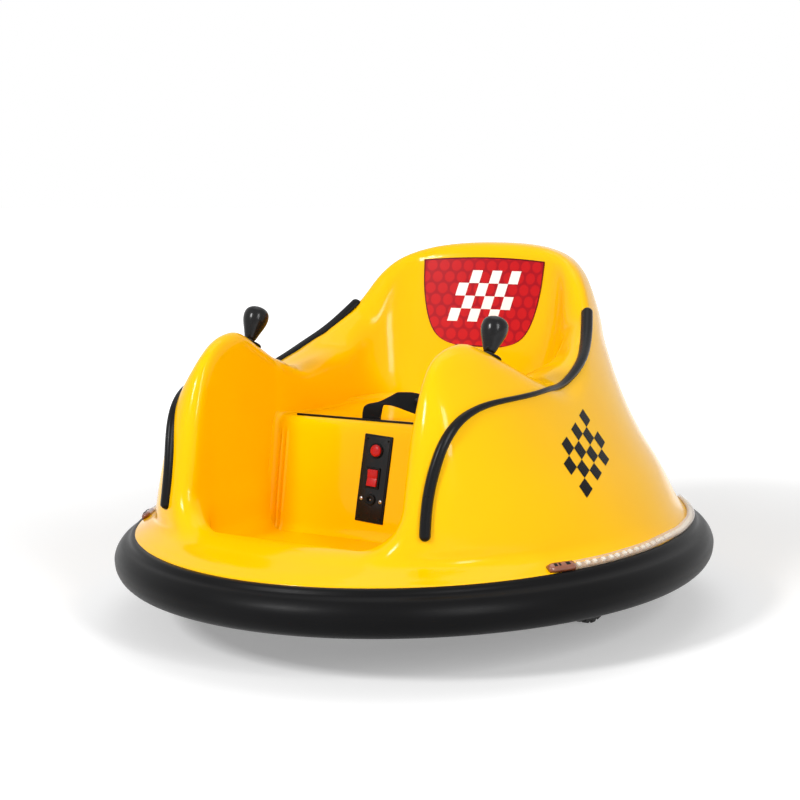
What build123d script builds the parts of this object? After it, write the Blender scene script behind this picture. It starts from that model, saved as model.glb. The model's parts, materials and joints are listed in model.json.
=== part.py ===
from build123d import *
import math
import os

os.makedirs("parts", exist_ok=True)

# Toddler's electric bumper car on an oval rubber ring, millimetres, +Z up.
# The front looks along -Y, the rider's left is +X, and the origin lies on the
# ground under the middle of the ring.

# Driving dimensions
ring_half_width = 330.0        # outer ring, half of its width in X
ring_half_length = 370.0       # outer ring, half of its length in Y
ring_mid_z = 78.0
ring_half_height = 25.0
ring_bulge = 20.6              # how far the ring stands out past the body's skirt
body_wall = 4.0
skirt_z = 100.0                # lower edge of the yellow body
tub_half_width = 128.0         # half of the cockpit's inner width
tub_floor_z = 96.0             # top of the footwell's floor
sill_z = 124.0                 # lowest point of the front opening
sill_back_y = -0.708 * ring_half_length   # where the footwell starts behind the sill
seat_front_y = -100.0          # upper front edge of the seat
seat_lean = 20.0               # how far the seat front's foot stands forward
seat_top_z = 220.0
seat_wall = 4.0
back_low_y = 134.0             # backrest surface at seat height
back_high_y = 168.0            # backrest surface at its top
back_high_z = 420.0
drive_wheel_radius = 60.0
drive_wheel_width = 34.0
gear_width = 42.0
drive_wheel_x = tub_half_width + body_wall + gear_width + 9.0 + drive_wheel_width / 2
drive_wheel_y = 15.0
caster_wheel_radius = 21.0
caster_wheel_width = 18.0
caster_trail = 14.0
front_caster_y = -150.0
rear_caster_y = 215.0
pan_thick = 4.0
lever_x = tub_half_width + 24.0
lever_y = -119.0
lever_z = 304.0                # where the lever's axis meets the arm's top
lever_lean = 27.0              # degrees, the arm's top slopes back by as much
fit_gap = 0.3

skirt_half_width = ring_half_width - ring_bulge
skirt_half_length = ring_half_length - ring_bulge


# The skirt's oval: end and side arcs that meet tangentially
oval_end_radius = 1.022 * skirt_half_width ** 2 / skirt_half_length


def oval_arcs(a, b, end_radius):
    """Right half of an oval as (centre, radius, start, stop) arcs, from the nose to the tail."""
    rise = b - end_radius
    side_radius = (a * a + rise * rise - end_radius * end_radius) / (2 * (a - end_radius))
    turn = math.atan2(abs(rise), abs(side_radius - a))
    return [((0.0, -rise), end_radius, -math.pi / 2, -turn), ((a - side_radius, 0.0), side_radius, -turn, turn),
            ((0.0, rise), end_radius, turn, math.pi / 2)]


def at(centre, radius, turn):
    return (centre[0] + radius * math.cos(turn), centre[1] + radius * math.sin(turn))


skirt_arcs = oval_arcs(skirt_half_width, skirt_half_length, oval_end_radius)


def plate(z, height, inset=0.0):
    """Plate with the skirt's outline, moved inwards by inset."""
    right = []
    for centre, radius, start, stop in skirt_arcs:
        right.append([at(centre, radius - inset, t) for t in (start, (start + stop) / 2, stop)])
    left = [[(-x, y) for x, y in reversed(arc)] for arc in reversed(right)]
    wire = Wire([ThreePointArc(*[(x, y, z) for x, y in arc]) for arc in right + left])
    return extrude(make_face(wire), amount=height, dir=(0, 0, 1))


# Outer shape of the body: sections from the skirt to the top of the backrest. A front and a rear oval meet
# at the widest place, and a bowed front face cuts the front oval off in a rounded crease.
# Columns: height, then as shares of the skirt's half width and half length the half width, the reach to the
# front and to the rear, y of the widest place; powers of the front and rear ovals; reach of the front face
# as a share, its bow in 1/m; direction of the crease from the widest place's middle, in degrees from the nose
body_sections = [
    (100.0, 1.000, 1.000, 1.000, 0.000, 2.00, 2.00, 1.002, 1.83, 31.0),
    (106.0, 0.968, 0.976, 0.985, 0.000, 2.00, 2.00, 0.967, 1.80, 31.0),
    (116.0, 0.936, 0.931, 0.962, 0.000, 1.95, 2.00, 0.899, 1.60, 31.0),
    (130.0, 0.908, 0.916, 0.942, 0.000, 2.05, 2.02, 0.848, 1.10, 30.0),
    (155.0, 0.861, 0.899, 0.908, 0.000, 2.21, 2.05, 0.804, 0.70, 31.0),
    (195.0, 0.777, 0.883, 0.861, -0.029, 2.44, 2.10, 0.767, 0.55, 34.0),
    (235.0, 0.705, 0.873, 0.830, -0.057, 2.58, 2.15, 0.738, 0.50, 35.6),
    (265.0, 0.656, 0.849, 0.833, -0.086, 2.62, 2.20, 0.713, 0.50, 36.5),
    (292.0, 0.606, 0.808, 0.841, -0.086, 2.65, 2.25, 0.692, 0.50, 34.3),
    (318.0, 0.566, 0.748, 0.837, -0.029, 2.74, 2.30, 0.665, 0.50, 30.0),
    (344.0, 0.520, 0.688, 0.813, 0.066, 2.80, 2.34, 0.626, 0.50, 27.0),
    (372.0, 0.481, 0.600, 0.760, 0.100, 2.66, 2.36, 0.560, 0.50, 25.0),
    (400.0, 0.458, 0.500, 0.690, 0.116, 2.52, 2.38, 0.480, 0.50, 24.0),
    (430.0, 0.440, 0.400, 0.600, 0.129, 2.40, 2.40, 0.400, 0.50, 24.0),
]
crease_blend = 14.0            # width over which the crease is rounded
crease_half_turn = 5.0         # the crease's own arc, to each side, in degrees
side_stop = 0.45               # where two side arcs meet, as a share of the way from the crease to the side
rear_stops = (122.0, 152.0)    # ends of the rear arcs, in degrees from the nose


def section_point(row, turn, grow, side=1):
    """Point of a section, in the direction turn from the nose, moved outwards by grow."""
    z, half, front, rear, mid, front_power, rear_power, face, bow, _ = row
    half = half * skirt_half_width + grow
    mid *= skirt_half_length
    front = front * skirt_half_length + grow + mid
    rear = rear * skirt_half_length + grow - mid
    face = face * skirt_half_length + grow + mid
    bow /= 1000.0
    s, c = math.sin(math.radians(turn)), math.cos(math.radians(turn))
    ahead = turn <= 90.0
    reach, power = (front, front_power) if ahead else (rear, rear_power)
    radius = ((abs(s) / half) ** power + (abs(c) / reach) ** power) ** (-1 / power)
    if ahead:
        flat = 2 * face / (c + math.sqrt(c * c + 4 * bow * s * s * face))
        near = max(crease_blend - abs(radius - flat), 0.0) / crease_blend
        radius = min(radius, flat) - near * near * crease_blend / 4
    return (side * radius * s, mid - radius * c, z)


def section_wire(row, grow, shift):
    """Closed outline of a section in twelve arcs."""
    crease = row[-1]
    first, last = crease - crease_half_turn, crease + crease_half_turn
    stops = [last, last + (90.0 - last) * side_stop, 90.0, *rear_stops]
    turns = [(first, crease, last)] + [(a, (a + b) / 2, b) for a, b in zip(stops, stops[1:])]

    def p(turn, side=1):
        x, y, z = section_point(row, turn, grow, side)
        return (x, y, z - shift)

    nose = ThreePointArc(p(first, -1), p(0.0), p(first))
    tail = ThreePointArc(p(stops[-1]), p(180.0), p(stops[-1], -1))
    right = [ThreePointArc(*[p(t) for t in arc]) for arc in turns]
    left = [ThreePointArc(*[p(t, -1) for t in reversed(arc)]) for arc in reversed(turns)]
    return Wire([nose] + right + [tail] + left)


def bell(grow, foot=0.0):
    """Whole outer form, moved outwards by grow. The inner form of the wall is ruled from section to
    section and starts foot below the skirt, so that it cuts through the open underside."""
    wires = [section_wire(row, grow, foot if row[0] == skirt_z else 0.0) for row in body_sections]
    return Solid.make_loft(wires, grow < 0)


# Side view of the rim: arm crest, dip beside the seat, then up to the backrest's top. Columns: y as a share of
# the ring's half length, height
rim_points = [(-0.68, 328.0), (-0.627, 333.4), (-0.438, 326.6), (-0.324, 305.9), (-0.208, 283.6),
              (-0.100, 270.8), (0.022, 283.9), (0.130, 313.0), (0.238, 352.2), (0.346, 389.7), (0.441, 413.0),
              (0.535, 418.0), (0.643, 417.5), (0.76, 417.0)]
reach_all = 450.0              # half size of the cutting bodies, more than any piece


def below_rim(drop):
    """Everything under the rim's side view, lowered by drop."""
    points = [(0, y * ring_half_length, z - drop) for y, z in rim_points]
    first, last = points[0], points[-1]
    line = Spline(*points)
    rest = Polyline(last, (0, reach_all, last[2]), (0, reach_all, 40), (0, -reach_all, 40),
                    (0, -reach_all, first[2]), first)
    face = make_face([line.edge()] + list(rest.edges()))
    return extrude(face, amount=reach_all, dir=(1, 0, 0), both=True)


# The backrest's round top as seen from the front: half an oval above arch_base
arch_base, arch_top, arch_half, arch_power = 300.0, 416.3, 0.585 * ring_half_width, 2.14
arch_turns = [0.0, 12.0, 25.0, 38.0, 50.0, 63.0, 76.0]


def below_arch(drop):
    """Everything under the backrest's round top as seen from the front, lowered by drop."""
    wide, tall = arch_half - drop, arch_top - arch_base - drop

    def p(turn, side):
        s, c = math.sin(math.radians(turn)), math.cos(math.radians(turn))
        radius = ((c / wide) ** arch_power + (s / tall) ** arch_power) ** (-1 / arch_power)
        return (side * radius * c, 0, arch_base + radius * s)

    points = [p(t, 1) for t in arch_turns] + [(0, 0, arch_base + tall)] + [p(t, -1) for t in reversed(arch_turns)]
    line = Spline(*points)
    rest = Polyline(points[-1], (-reach_all, 0, arch_base), (-reach_all, 0, 40), (reach_all, 0, 40),
                    (reach_all, 0, arch_base), points[0])
    face = make_face([line.edge()] + list(rest.edges()))
    return extrude(face, amount=reach_all, dir=(0, 1, 0), both=True)


def cockpit(grow):
    """Room inside the arms and in front of the backrest, made larger all round by grow."""
    half = tub_half_width + grow
    low, high = tub_floor_z - grow, 460.0
    slope = (back_high_y - back_low_y) / (back_high_z - seat_top_z)

    def section(z):
        back = back_low_y + slope * (z - seat_top_z) + grow
        front = sill_back_y - grow
        shoulder = 60.0
        bow = 22.0
        path = [
            Line((-half, back - shoulder, z), (-half, front, z)),
            Line((-half, front, z), (half, front, z)),
            Line((half, front, z), (half, back - shoulder, z)),
            ThreePointArc((half, back - shoulder, z), (half - 13.0, back - bow - 14.0, z),
                          (half - 46.0, back - bow + 8.0, z)),
            ThreePointArc((half - 46.0, back - bow + 8.0, z), (0, back, z), (46.0 - half, back - bow + 8.0, z)),
            ThreePointArc((46.0 - half, back - bow + 8.0, z), (13.0 - half, back - bow - 14.0, z),
                          (-half, back - shoulder, z)),
        ]
        return Wire(path)

    room = Solid.make_loft([section(low), section(high)], True)
    # The front opening: upright sides, round lower corners
    sill = sill_z - grow
    height = 400.0
    corner = 38.0 + grow
    mouth = Pos(0, sill_back_y - 1.0, sill + height / 2) * Rot(90, 0, 0) * RectangleRounded(2 * half, height, corner)
    return room + extrude(mouth, amount=200.0, dir=(0, -1, 0)) + extrude(mouth, amount=20.0, dir=(0, 1, 0))


def save(name, shape):
    parts = shape.solids()
    shape = parts[0] if len(parts) == 1 else Compound(children=list(parts))
    export_step(shape, f"parts/{name}.step")


def both_sides(name, shape):
    """Saves a left-hand piece, at +X, and its mirror image."""
    save(f"{name}_left", shape)
    save(f"{name}_right", mirror(shape, about=Plane.YZ))


def block(x0, x1, y0, y1, z0, z1):
    return Pos((x0 + x1) / 2, (y0 + y1) / 2, (z0 + z1) / 2) * Box(x1 - x0, y1 - y0, z1 - z0)


def rod(centre, direction, radius, length):
    """Round bar from centre along direction."""
    return Solid.make_cylinder(radius, length, Plane(origin=centre, z_dir=direction))


# Lever housings stand square to the sloping tops of the arms
lever_pivot_depth = 18.0
housing_cut = 60.0             # length of the cuts through the arm's top and the housing's walls
lever_stick_radius = 4.5
housing_inner_radius = 12.5
housing_wall = 2.5
housing_depth = 30.0
collar_radius = 19.0
collar_thick = 2.0
pin_radius = 2.0
knob_radius = 13.5
knob_length = 40.0


def lever_frame(side):
    lean = math.radians(lever_lean)
    return Plane(origin=(side * lever_x, lever_y, lever_z), x_dir=(1, 0, 0),
                 z_dir=(0, math.sin(lean), math.cos(lean)))


# Body shell: hollow moulding with arms, backrest and tub
body_outer = bell(0.0) & below_rim(0.0) & below_arch(0.0)
wall_slant = 1.0               # a level offset that gives a sloping wall its full thickness
body_inside = bell(-body_wall - wall_slant, 6.0) & below_rim(body_wall) & below_arch(body_wall)
body_inside -= cockpit(body_wall)
tub_foot = cockpit(body_wall) & block(-200, 200, -300, 300, 0, skirt_z + 3.0)
body_shell = body_outer - body_inside + tub_foot - cockpit(0.0)
for side in (1, -1):
    frame = lever_frame(side)
    body_shell -= frame.location * Pos(0, 0, -10) * Cylinder(housing_inner_radius + housing_wall + fit_gap,
                                                                 housing_cut)
save("body_shell", body_shell)

# Trim stripes and lamp strips lie on the outer skin. The stripe's band is drawn in a view turned
# towards the front, where it keeps an even width round the arm: columns are distance to the rear and height
stripe_view_turn = 30.0
stripe_points = [(-149.0, 139.0), (-145.0, 171.0), (-136.0, 205.0), (-127.0, 228.0), (-115.0, 244.5),
                 (-104.0, 253.5), (-86.0, 261.0), (-63.0, 265.3), (-32.0, 267.0), (14.0, 266.5), (59.0, 267.5),
                 (99.5, 277.0), (133.5, 295.0), (156.0, 316.5), (169.0, 339.5)]
stripe_width = 10.0
stripe_proud = 2.4
skin_gap = 0.15
skin = bell(stripe_proud) - bell(skin_gap)
turn = math.radians(stripe_view_turn)
stripe_view = Plane(origin=(0, 0, 0), x_dir=(math.sin(turn), math.cos(turn), 0),
                    z_dir=(math.cos(turn), -math.sin(turn), 0))
stripe_face = trace(Spline(*stripe_points), stripe_width)
for u, z in (stripe_points[0], stripe_points[-1]):
    stripe_face += Pos(u, z) * Circle(stripe_width / 2)
stripe_bar = stripe_view.location * extrude(stripe_face, amount=reach_all)
stripe = skin & stripe_bar
both_sides("trim_stripe", stripe.solids().sort_by(SortBy.VOLUME)[-1])

strip_low, strip_high = 104.0, 114.0
strip_front_y, strip_rear_y = -175.0, 165.0
lamp = skin & block(tub_half_width, ring_half_width, strip_front_y, strip_rear_y, strip_low, strip_high)
both_sides("lamp_strip", lamp.solids().sort_by(SortBy.VOLUME)[-1])

# Bumper ring: open channel of rubber swept round the skirt's oval
channel_in = -12.0
channel_wall = 7.0
bead_radius = 3.0
ring_low = ring_mid_z - ring_half_height
channel_floor = ring_low + channel_wall


def ring_profile():
    top, bottom = skirt_z, ring_low
    groove = (bead_radius + 1.6, top - 2 * bead_radius)
    return [
        Line((channel_in, top), (1.0, top)),
        ThreePointArc((1.0, top), (1.0 + bead_radius, top - bead_radius), groove),
        ThreePointArc(groove, (ring_bulge, ring_mid_z - 2.0), (2.0, bottom)),
        Line((2.0, bottom), (channel_in, bottom)),
        Line((channel_in, bottom), (channel_in, channel_floor)),
        Line((channel_in, channel_floor), (1.0, channel_floor)),
        ThreePointArc((1.0, channel_floor), (ring_bulge - channel_wall, ring_mid_z - 2.0), (0.0, top - channel_wall)),
        Line((0.0, top - channel_wall), (channel_in, top - channel_wall)),
        Line((channel_in, top - channel_wall), (channel_in, top)),
    ]


def around_skirt(edges):
    """Turns a profile of outward distance and height round each arc of the skirt's oval."""
    profile = make_face(Wire(edges))
    half = None
    for c, r, start, stop in skirt_arcs:
        plane = Plane(origin=(c[0], c[1], 0), x_dir=(math.cos(start), math.sin(start), 0),
                      z_dir=(math.sin(start), -math.cos(start), 0))
        face = plane.location * Pos(r, 0, 0) * profile
        sector = revolve(face, Axis((c[0], c[1], 0), (0, 0, 1)), math.degrees(stop - start))
        half = sector if half is None else half + sector
    return half + mirror(half, about=Plane.YZ)


save("bumper_ring", around_skirt(ring_profile()))

# Base pan: tray inside the ring, with openings for the drive wheels and posts to the tub
pan_low = channel_floor
pan_top = pan_low + pan_thick
tub_under_z = tub_floor_z - body_wall
pan = plate(pan_low, pan_thick, 3.0)
tray_wall = 3.0
tray_room = 60.0               # height of the room inside the tray's wall, more than the wall
rim = plate(pan_top, skirt_z - pan_top, -channel_in + 1.0)
pan += rim - plate(pan_top, tray_room, -channel_in + 1.0 + tray_wall)
wheel_room_x = (tub_half_width + body_wall, drive_wheel_x + drive_wheel_width / 2 + 10.0)
wheel_room_y = (drive_wheel_y - 72.0, drive_wheel_y + 95.0)
for side in (1, -1):
    xs = sorted(side * x for x in wheel_room_x)
    pan -= block(xs[0], xs[1], wheel_room_y[0], wheel_room_y[1], pan_low - 1, pan_top + 1)
post_radius = 7.0
post_front_y, post_rear_y, post_x = sill_back_y + 57.0, 95.0, 100.0
post_places = [(-post_x, post_front_y), (post_x, post_front_y), (-post_x, post_rear_y), (post_x, post_rear_y)]
for x, y in post_places:
    pan += rod((x, y, pan_top), (0, 0, 1), post_radius, tub_under_z - pan_top)
save("base_pan", pan)

# Seat box: seat front and top in one moulding, open underneath, with a shallow dish to sit in
seat_edge_radius = 8.0
dish_size, dish_y, dish_depth, dish_corner = (190.0, 130.0), 25.0, 2.0, 20.0


def seat_form(shrink):
    front = [(seat_front_y + shrink, seat_top_z - shrink), (seat_front_y - seat_lean + shrink, tub_floor_z),
             (160.0, tub_floor_z), (160.0, seat_top_z - shrink)]
    side = make_face(Polyline(*[(0, y, z) for y, z in front], close=True).edges())
    edge = side.vertices().sort_by(Axis.Z)[-2:].sort_by(Axis.Y)[0]
    side = fillet(edge, seat_edge_radius - shrink)
    bar = extrude(side, amount=200, dir=(1, 0, 0), both=True)
    return bar & cockpit(-fit_gap - shrink)


def seat_dish(grow):
    """Room of the dish, made larger all round by grow."""
    room = Box(dish_size[0] + 2 * grow, dish_size[1] + 2 * grow, dish_depth + grow)
    room = fillet(room.edges().filter_by(Axis.Z), dish_corner + grow)
    return Pos(0, dish_y, seat_top_z - (dish_depth + grow) / 2) * room


seat_room = seat_form(seat_wall) - seat_dish(seat_wall)
seat = seat_form(0.0) - seat_room - seat_dish(0.0)
seat -= block(-110, 110, -90, 110, tub_floor_z - 5, tub_floor_z + 6)
save("seat_box", seat)

# Control plate on the seat front
plate_x, plate_width, plate_height, plate_thick = 6.0, 36.0, 96.0, 2.5
plate_mid_z = 162.0
lean_angle = math.atan2(seat_lean, seat_top_z - tub_floor_z)
face_y = seat_front_y - seat_lean * (seat_top_z - plate_mid_z) / (seat_top_z - tub_floor_z)
seat_face = Plane(origin=(plate_x, face_y, plate_mid_z), x_dir=(1, 0, 0),
                  z_dir=(0, -math.cos(lean_angle), math.sin(lean_angle)))
plate_on = seat_face.location


def on_plate(v, shape, lift=0.0):
    """Places a piece on the control plate, v above its middle."""
    return plate_on * Pos(0, v, plate_thick + lift) * shape


button_v, rocker_v, socket_v = 31.0, 1.0, -23.0
button_radius, rocker_size = 8.0, (13.0, 19.0)
socket_radius, socket_depth = 2.8, 9.0
control = plate_on * Pos(0, 0, plate_thick / 2) * Box(plate_width, plate_height, plate_thick)
control = fillet(control.edges().filter_by(lambda e: abs(e.length - plate_thick) < 0.01), 3.0)
save("control_plate", control)
button = on_plate(button_v, Pos(0, 0, 2.0) * Cylinder(button_radius, 4.0))
save("power_button", button)
rocker = on_plate(rocker_v, Pos(0, 0, 2.5) * Box(rocker_size[0], rocker_size[1], 5.0))
save("rocker_switch", rocker)
socket = on_plate(socket_v, Pos(0, 0, 1.5) * Cylinder(6.0, 3.0))
socket -= on_plate(socket_v, Pos(0, 0, 1.5) * Cylinder(socket_radius, 20.0))
save("charge_socket", socket)

# Battery on the tub floor, under the seat
battery_size = (151.0, 65.0, 94.0)
save("battery", block(-battery_size[0] / 2, battery_size[0] / 2, 20.0, 20.0 + battery_size[1],
                      tub_floor_z, tub_floor_z + battery_size[2]))

# Drive units beside the tub
gear_x = (tub_half_width + body_wall, tub_half_width + body_wall + gear_width)
gear_end_radius = 34.0
gear_motor_y = drive_wheel_y + 72.0
gear_motor_z = 98.0
motor_radius = 18.0
axle_radius = 5.0
hub_gap = 1.0
wheel_in_x = drive_wheel_x - drive_wheel_width / 2
wheel_out_x = drive_wheel_x + drive_wheel_width / 2


def link(p0, r0, p1, r1, x0, x1):
    """Two round ends joined by straight sides, seen along X."""
    dy, dz = p1[0] - p0[0], p1[1] - p0[1]
    dist = math.hypot(dy, dz)
    base = math.atan2(dz, dy)
    tilt = math.acos((r0 - r1) / dist)
    a = [(p0[0] + r0 * math.cos(base + s * tilt), p0[1] + r0 * math.sin(base + s * tilt)) for s in (1, -1)]
    b = [(p1[0] + r1 * math.cos(base + s * tilt), p1[1] + r1 * math.sin(base + s * tilt)) for s in (1, -1)]
    back = (p0[0] - r0 * math.cos(base), p0[1] - r0 * math.sin(base))
    front = (p1[0] + r1 * math.cos(base), p1[1] + r1 * math.sin(base))

    def up(p):
        return (x0, p[0], p[1])

    edges = [Line(up(a[0]), up(b[0])), ThreePointArc(up(b[0]), up(front), up(b[1])), Line(up(b[1]), up(a[1])),
             ThreePointArc(up(a[1]), up(back), up(a[0]))]
    return extrude(make_face(Wire(edges)), amount=x1 - x0, dir=(1, 0, 0))


gear_motor_end_radius = 24.0
gearbox = link((drive_wheel_y, drive_wheel_radius), gear_end_radius, (gear_motor_y, gear_motor_z),
               gear_motor_end_radius, *gear_x)
both_sides("gearbox", gearbox)
motor = rod((gear_x[1], gear_motor_y, gear_motor_z), (1, 0, 0), motor_radius, 56.0)
both_sides("motor", motor)
axle = rod((gear_x[1], drive_wheel_y, drive_wheel_radius), (1, 0, 0), axle_radius, wheel_out_x + 4.0 - gear_x[1])
both_sides("drive_axle", axle)

# Drive wheels
tyre_thick = 9.0


def wheel_turn(centre, points):
    """Turned piece about an X axis: points are (x, radius)."""
    line = Polyline(*[(x, r) for x, r in points], close=True)
    upright = Plane(origin=(0, centre[0], centre[1]), x_dir=(1, 0, 0), z_dir=(0, -1, 0))
    face = upright.location * make_face(line.edges())
    return revolve(face, Axis((0, centre[0], centre[1]), (1, 0, 0)), 360)


drive_centre = (drive_wheel_y, drive_wheel_radius)
rim_r = drive_wheel_radius - tyre_thick
tyre = wheel_turn(drive_centre, [(wheel_in_x, rim_r), (wheel_in_x, drive_wheel_radius - 4),
                                 (wheel_in_x + 4, drive_wheel_radius), (wheel_out_x - 4, drive_wheel_radius),
                                 (wheel_out_x, drive_wheel_radius - 4), (wheel_out_x, rim_r)])
both_sides("drive_tyre", tyre)
bore = axle_radius + 0.05
hub = wheel_turn(drive_centre, [(wheel_in_x + 1, rim_r), (wheel_out_x - 1, rim_r), (wheel_out_x - 1, rim_r - 5),
                                (wheel_out_x - 12, rim_r - 8), (wheel_out_x - 12, 16), (wheel_out_x, 14),
                                (wheel_out_x, bore), (wheel_in_x + 1, bore), (wheel_in_x + 1, 14),
                                (wheel_in_x + 12, 16), (wheel_in_x + 12, rim_r - 8), (wheel_in_x + 1, rim_r - 5)])
both_sides("drive_hub", hub)

# Casters under the pan
kingpin_radius = 4.0
crown_top = pan_low - 7.5
crown_low = crown_top - 5.0
caster_axle_radius = 2.5
for where, y in (("front", front_caster_y), ("rear", rear_caster_y)):
    mount_plate = block(-23, 23, y - 23, y + 23, pan_low - 3.5, pan_low)
    mount_plate += rod((0, y, crown_top + 0.3), (0, 0, 1), 11.0, 6.0)
    mount_plate -= rod((0, y, crown_top - 1), (0, 0, 1), kingpin_radius + 0.05, 30.0)
    save(f"caster_plate_{where}", mount_plate)
    axle_y = y + caster_trail
    fork = rod((0, y, crown_low), (0, 0, 1), 13.0, crown_top - crown_low)
    fork += rod((0, y, crown_top), (0, 0, 1), kingpin_radius, 6.5)
    for side in (1, -1):
        leg_x = sorted((side * (caster_wheel_width / 2 + 1.5), side * (caster_wheel_width / 2 + 4.5)))
        leg = Polyline((leg_x[0], y - 8, crown_top), (leg_x[0], y + 10, crown_top),
                       (leg_x[0], axle_y + 7, caster_wheel_radius + 4), (leg_x[0], axle_y + 5, caster_wheel_radius - 6),
                       (leg_x[0], axle_y - 5, caster_wheel_radius - 6), close=True)
        fork += extrude(make_face(leg.edges()), amount=3.0, dir=(1, 0, 0))
        fork -= rod((leg_x[0] - 1, axle_y, caster_wheel_radius), (1, 0, 0), caster_axle_radius + 0.05, 5.0)
    save(f"caster_fork_{where}", fork)
    half = caster_wheel_width / 2
    pin = rod((-half - 5.5, axle_y, caster_wheel_radius), (1, 0, 0), caster_axle_radius, 2 * half + 11.0)
    save(f"caster_axle_{where}", pin)
    r = caster_wheel_radius
    wheel = wheel_turn((axle_y, r), [(-half, caster_axle_radius + 0.05), (-half, r - 3), (-half + 3, r), (half - 3, r),
                                     (half, r - 3), (half, caster_axle_radius + 0.05)])
    save(f"caster_wheel_{where}", wheel)

# Steering levers: a housing in each arm, a lever on a cross pin and a pear-shaped knob
for side, word in ((1, "left"), (-1, "right")):
    place = lever_frame(side).location
    outer = housing_inner_radius + housing_wall
    housing = Pos(0, 0, -housing_depth / 2) * Cylinder(outer, housing_depth)
    housing += Pos(0, 0, collar_thick / 2 + 3.0) * Cylinder(collar_radius, collar_thick)
    housing += Pos(0, 0, 1.5) * Cylinder(outer, 3.0)
    housing -= Pos(0, 0, 10.0 - housing_depth / 2 + housing_wall) * Cylinder(housing_inner_radius, housing_depth + 20.0)
    housing -= Pos(0, 0, -lever_pivot_depth) * Rot(0, 90, 0) * Cylinder(pin_radius + 0.05, housing_cut)
    save(f"lever_housing_{word}", place * housing)
    stick = Pos(0, 0, -lever_pivot_depth) * Sphere(7.0)
    stick += Pos(0, 0, -lever_pivot_depth) * Rot(0, 90, 0) * Cylinder(pin_radius, 2 * outer - 1.0)
    neck_z = 9.0
    stick += Pos(0, 0, (neck_z - lever_pivot_depth) / 2) * Cylinder(lever_stick_radius, neck_z + lever_pivot_depth)
    save(f"lever_stick_{word}", place * stick)
    ball_z = neck_z + knob_length - knob_radius
    tangent = math.acos((knob_radius - 6.5) / (ball_z - neck_z))
    side_pt = (knob_radius * math.sin(tangent), ball_z - knob_radius * math.cos(tangent))
    foot_pt = (6.5 * math.sin(tangent), neck_z)
    outline = [Line((0, neck_z), foot_pt), Line(foot_pt, side_pt),
               ThreePointArc(side_pt, (knob_radius, ball_z), (0, ball_z + knob_radius)),
               Line((0, ball_z + knob_radius), (0, neck_z))]
    knob = revolve(Plane.XZ * make_face(Wire(outline)), Axis.Z, 360)
    save(f"lever_knob_{word}", place * knob)

# Lap belt standing in a loop on the seat
belt_width, belt_thick = 25.0, 1.8
belt_y = -62.0
belt_line = FilletPolyline((-62.0, seat_top_z), (-54.0, 236.0), (-10.0, 246.0), (36.0, 252.0), (78.0, 244.0),
                           (92.0, seat_top_z), radius=[8.0, 30.0, 60.0, 12.0])
belt_face = trace(belt_line, belt_thick)
front_view = Plane(origin=(0, belt_y, 0), x_dir=(1, 0, 0), z_dir=(0, -1, 0))
belt = extrude(front_view * belt_face, amount=belt_width / 2, dir=(0, 1, 0), both=True)
belt -= block(-200, 200, -200, 200, 0, seat_top_z + 0.3)
save("belt_strap", belt)
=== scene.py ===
import json
import math
import bpy
import numpy as np
from mathutils import Matrix, Vector


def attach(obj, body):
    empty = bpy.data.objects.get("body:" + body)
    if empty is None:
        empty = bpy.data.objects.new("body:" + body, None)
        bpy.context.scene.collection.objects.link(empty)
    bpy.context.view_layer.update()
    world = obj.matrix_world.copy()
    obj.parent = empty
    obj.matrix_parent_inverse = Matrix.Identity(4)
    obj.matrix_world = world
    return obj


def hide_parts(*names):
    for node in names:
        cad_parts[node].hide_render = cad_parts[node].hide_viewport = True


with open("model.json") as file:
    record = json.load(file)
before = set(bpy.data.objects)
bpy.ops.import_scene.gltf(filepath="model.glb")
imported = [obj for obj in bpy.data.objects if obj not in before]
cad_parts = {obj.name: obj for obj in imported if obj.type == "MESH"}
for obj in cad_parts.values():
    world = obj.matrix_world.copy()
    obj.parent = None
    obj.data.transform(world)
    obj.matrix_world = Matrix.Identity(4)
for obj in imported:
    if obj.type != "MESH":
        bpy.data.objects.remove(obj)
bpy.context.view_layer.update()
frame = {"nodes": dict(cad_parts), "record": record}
nodes = frame["nodes"]
print("frame loaded:", len(nodes), "nodes")


# camera and light
camera = dict(place=(0.9073, -1.5460, 0.4754), azimuth=30.41, elevation=7.46, roll=-0.28,
              focalPixels=1578.0, axisPixel=(419.2, 395.5), imageSize=800.0, sensor=36.0, clip=(0.05, 60.0))


def makeCamera(c):
    turn, tip, roll = (math.radians(c[k]) for k in ("azimuth", "elevation", "roll"))
    back = Vector((math.sin(turn) * math.cos(tip), -math.cos(turn) * math.cos(tip), math.sin(tip)))
    level = Vector((math.cos(turn), math.sin(turn), 0.0))
    right = Matrix.Rotation(roll, 3, back) @ level
    up = back.cross(right)
    data = bpy.data.cameras.new("photoCamera")
    data.sensor_width = c["sensor"]
    data.lens = c["focalPixels"] / c["imageSize"] * c["sensor"]
    data.shift_x = (c["imageSize"] / 2 - c["axisPixel"][0]) / c["imageSize"]
    data.shift_y = (c["axisPixel"][1] - c["imageSize"] / 2) / c["imageSize"]
    data.clip_start, data.clip_end = c["clip"]
    obj = bpy.data.objects.new("photoCamera", data)
    bpy.context.scene.collection.objects.link(obj)
    turned = Matrix((right, up, back)).transposed().to_4x4()
    turned.translation = c["place"]
    obj.matrix_world = turned
    bpy.context.scene.camera = obj


makeCamera(camera)


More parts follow.
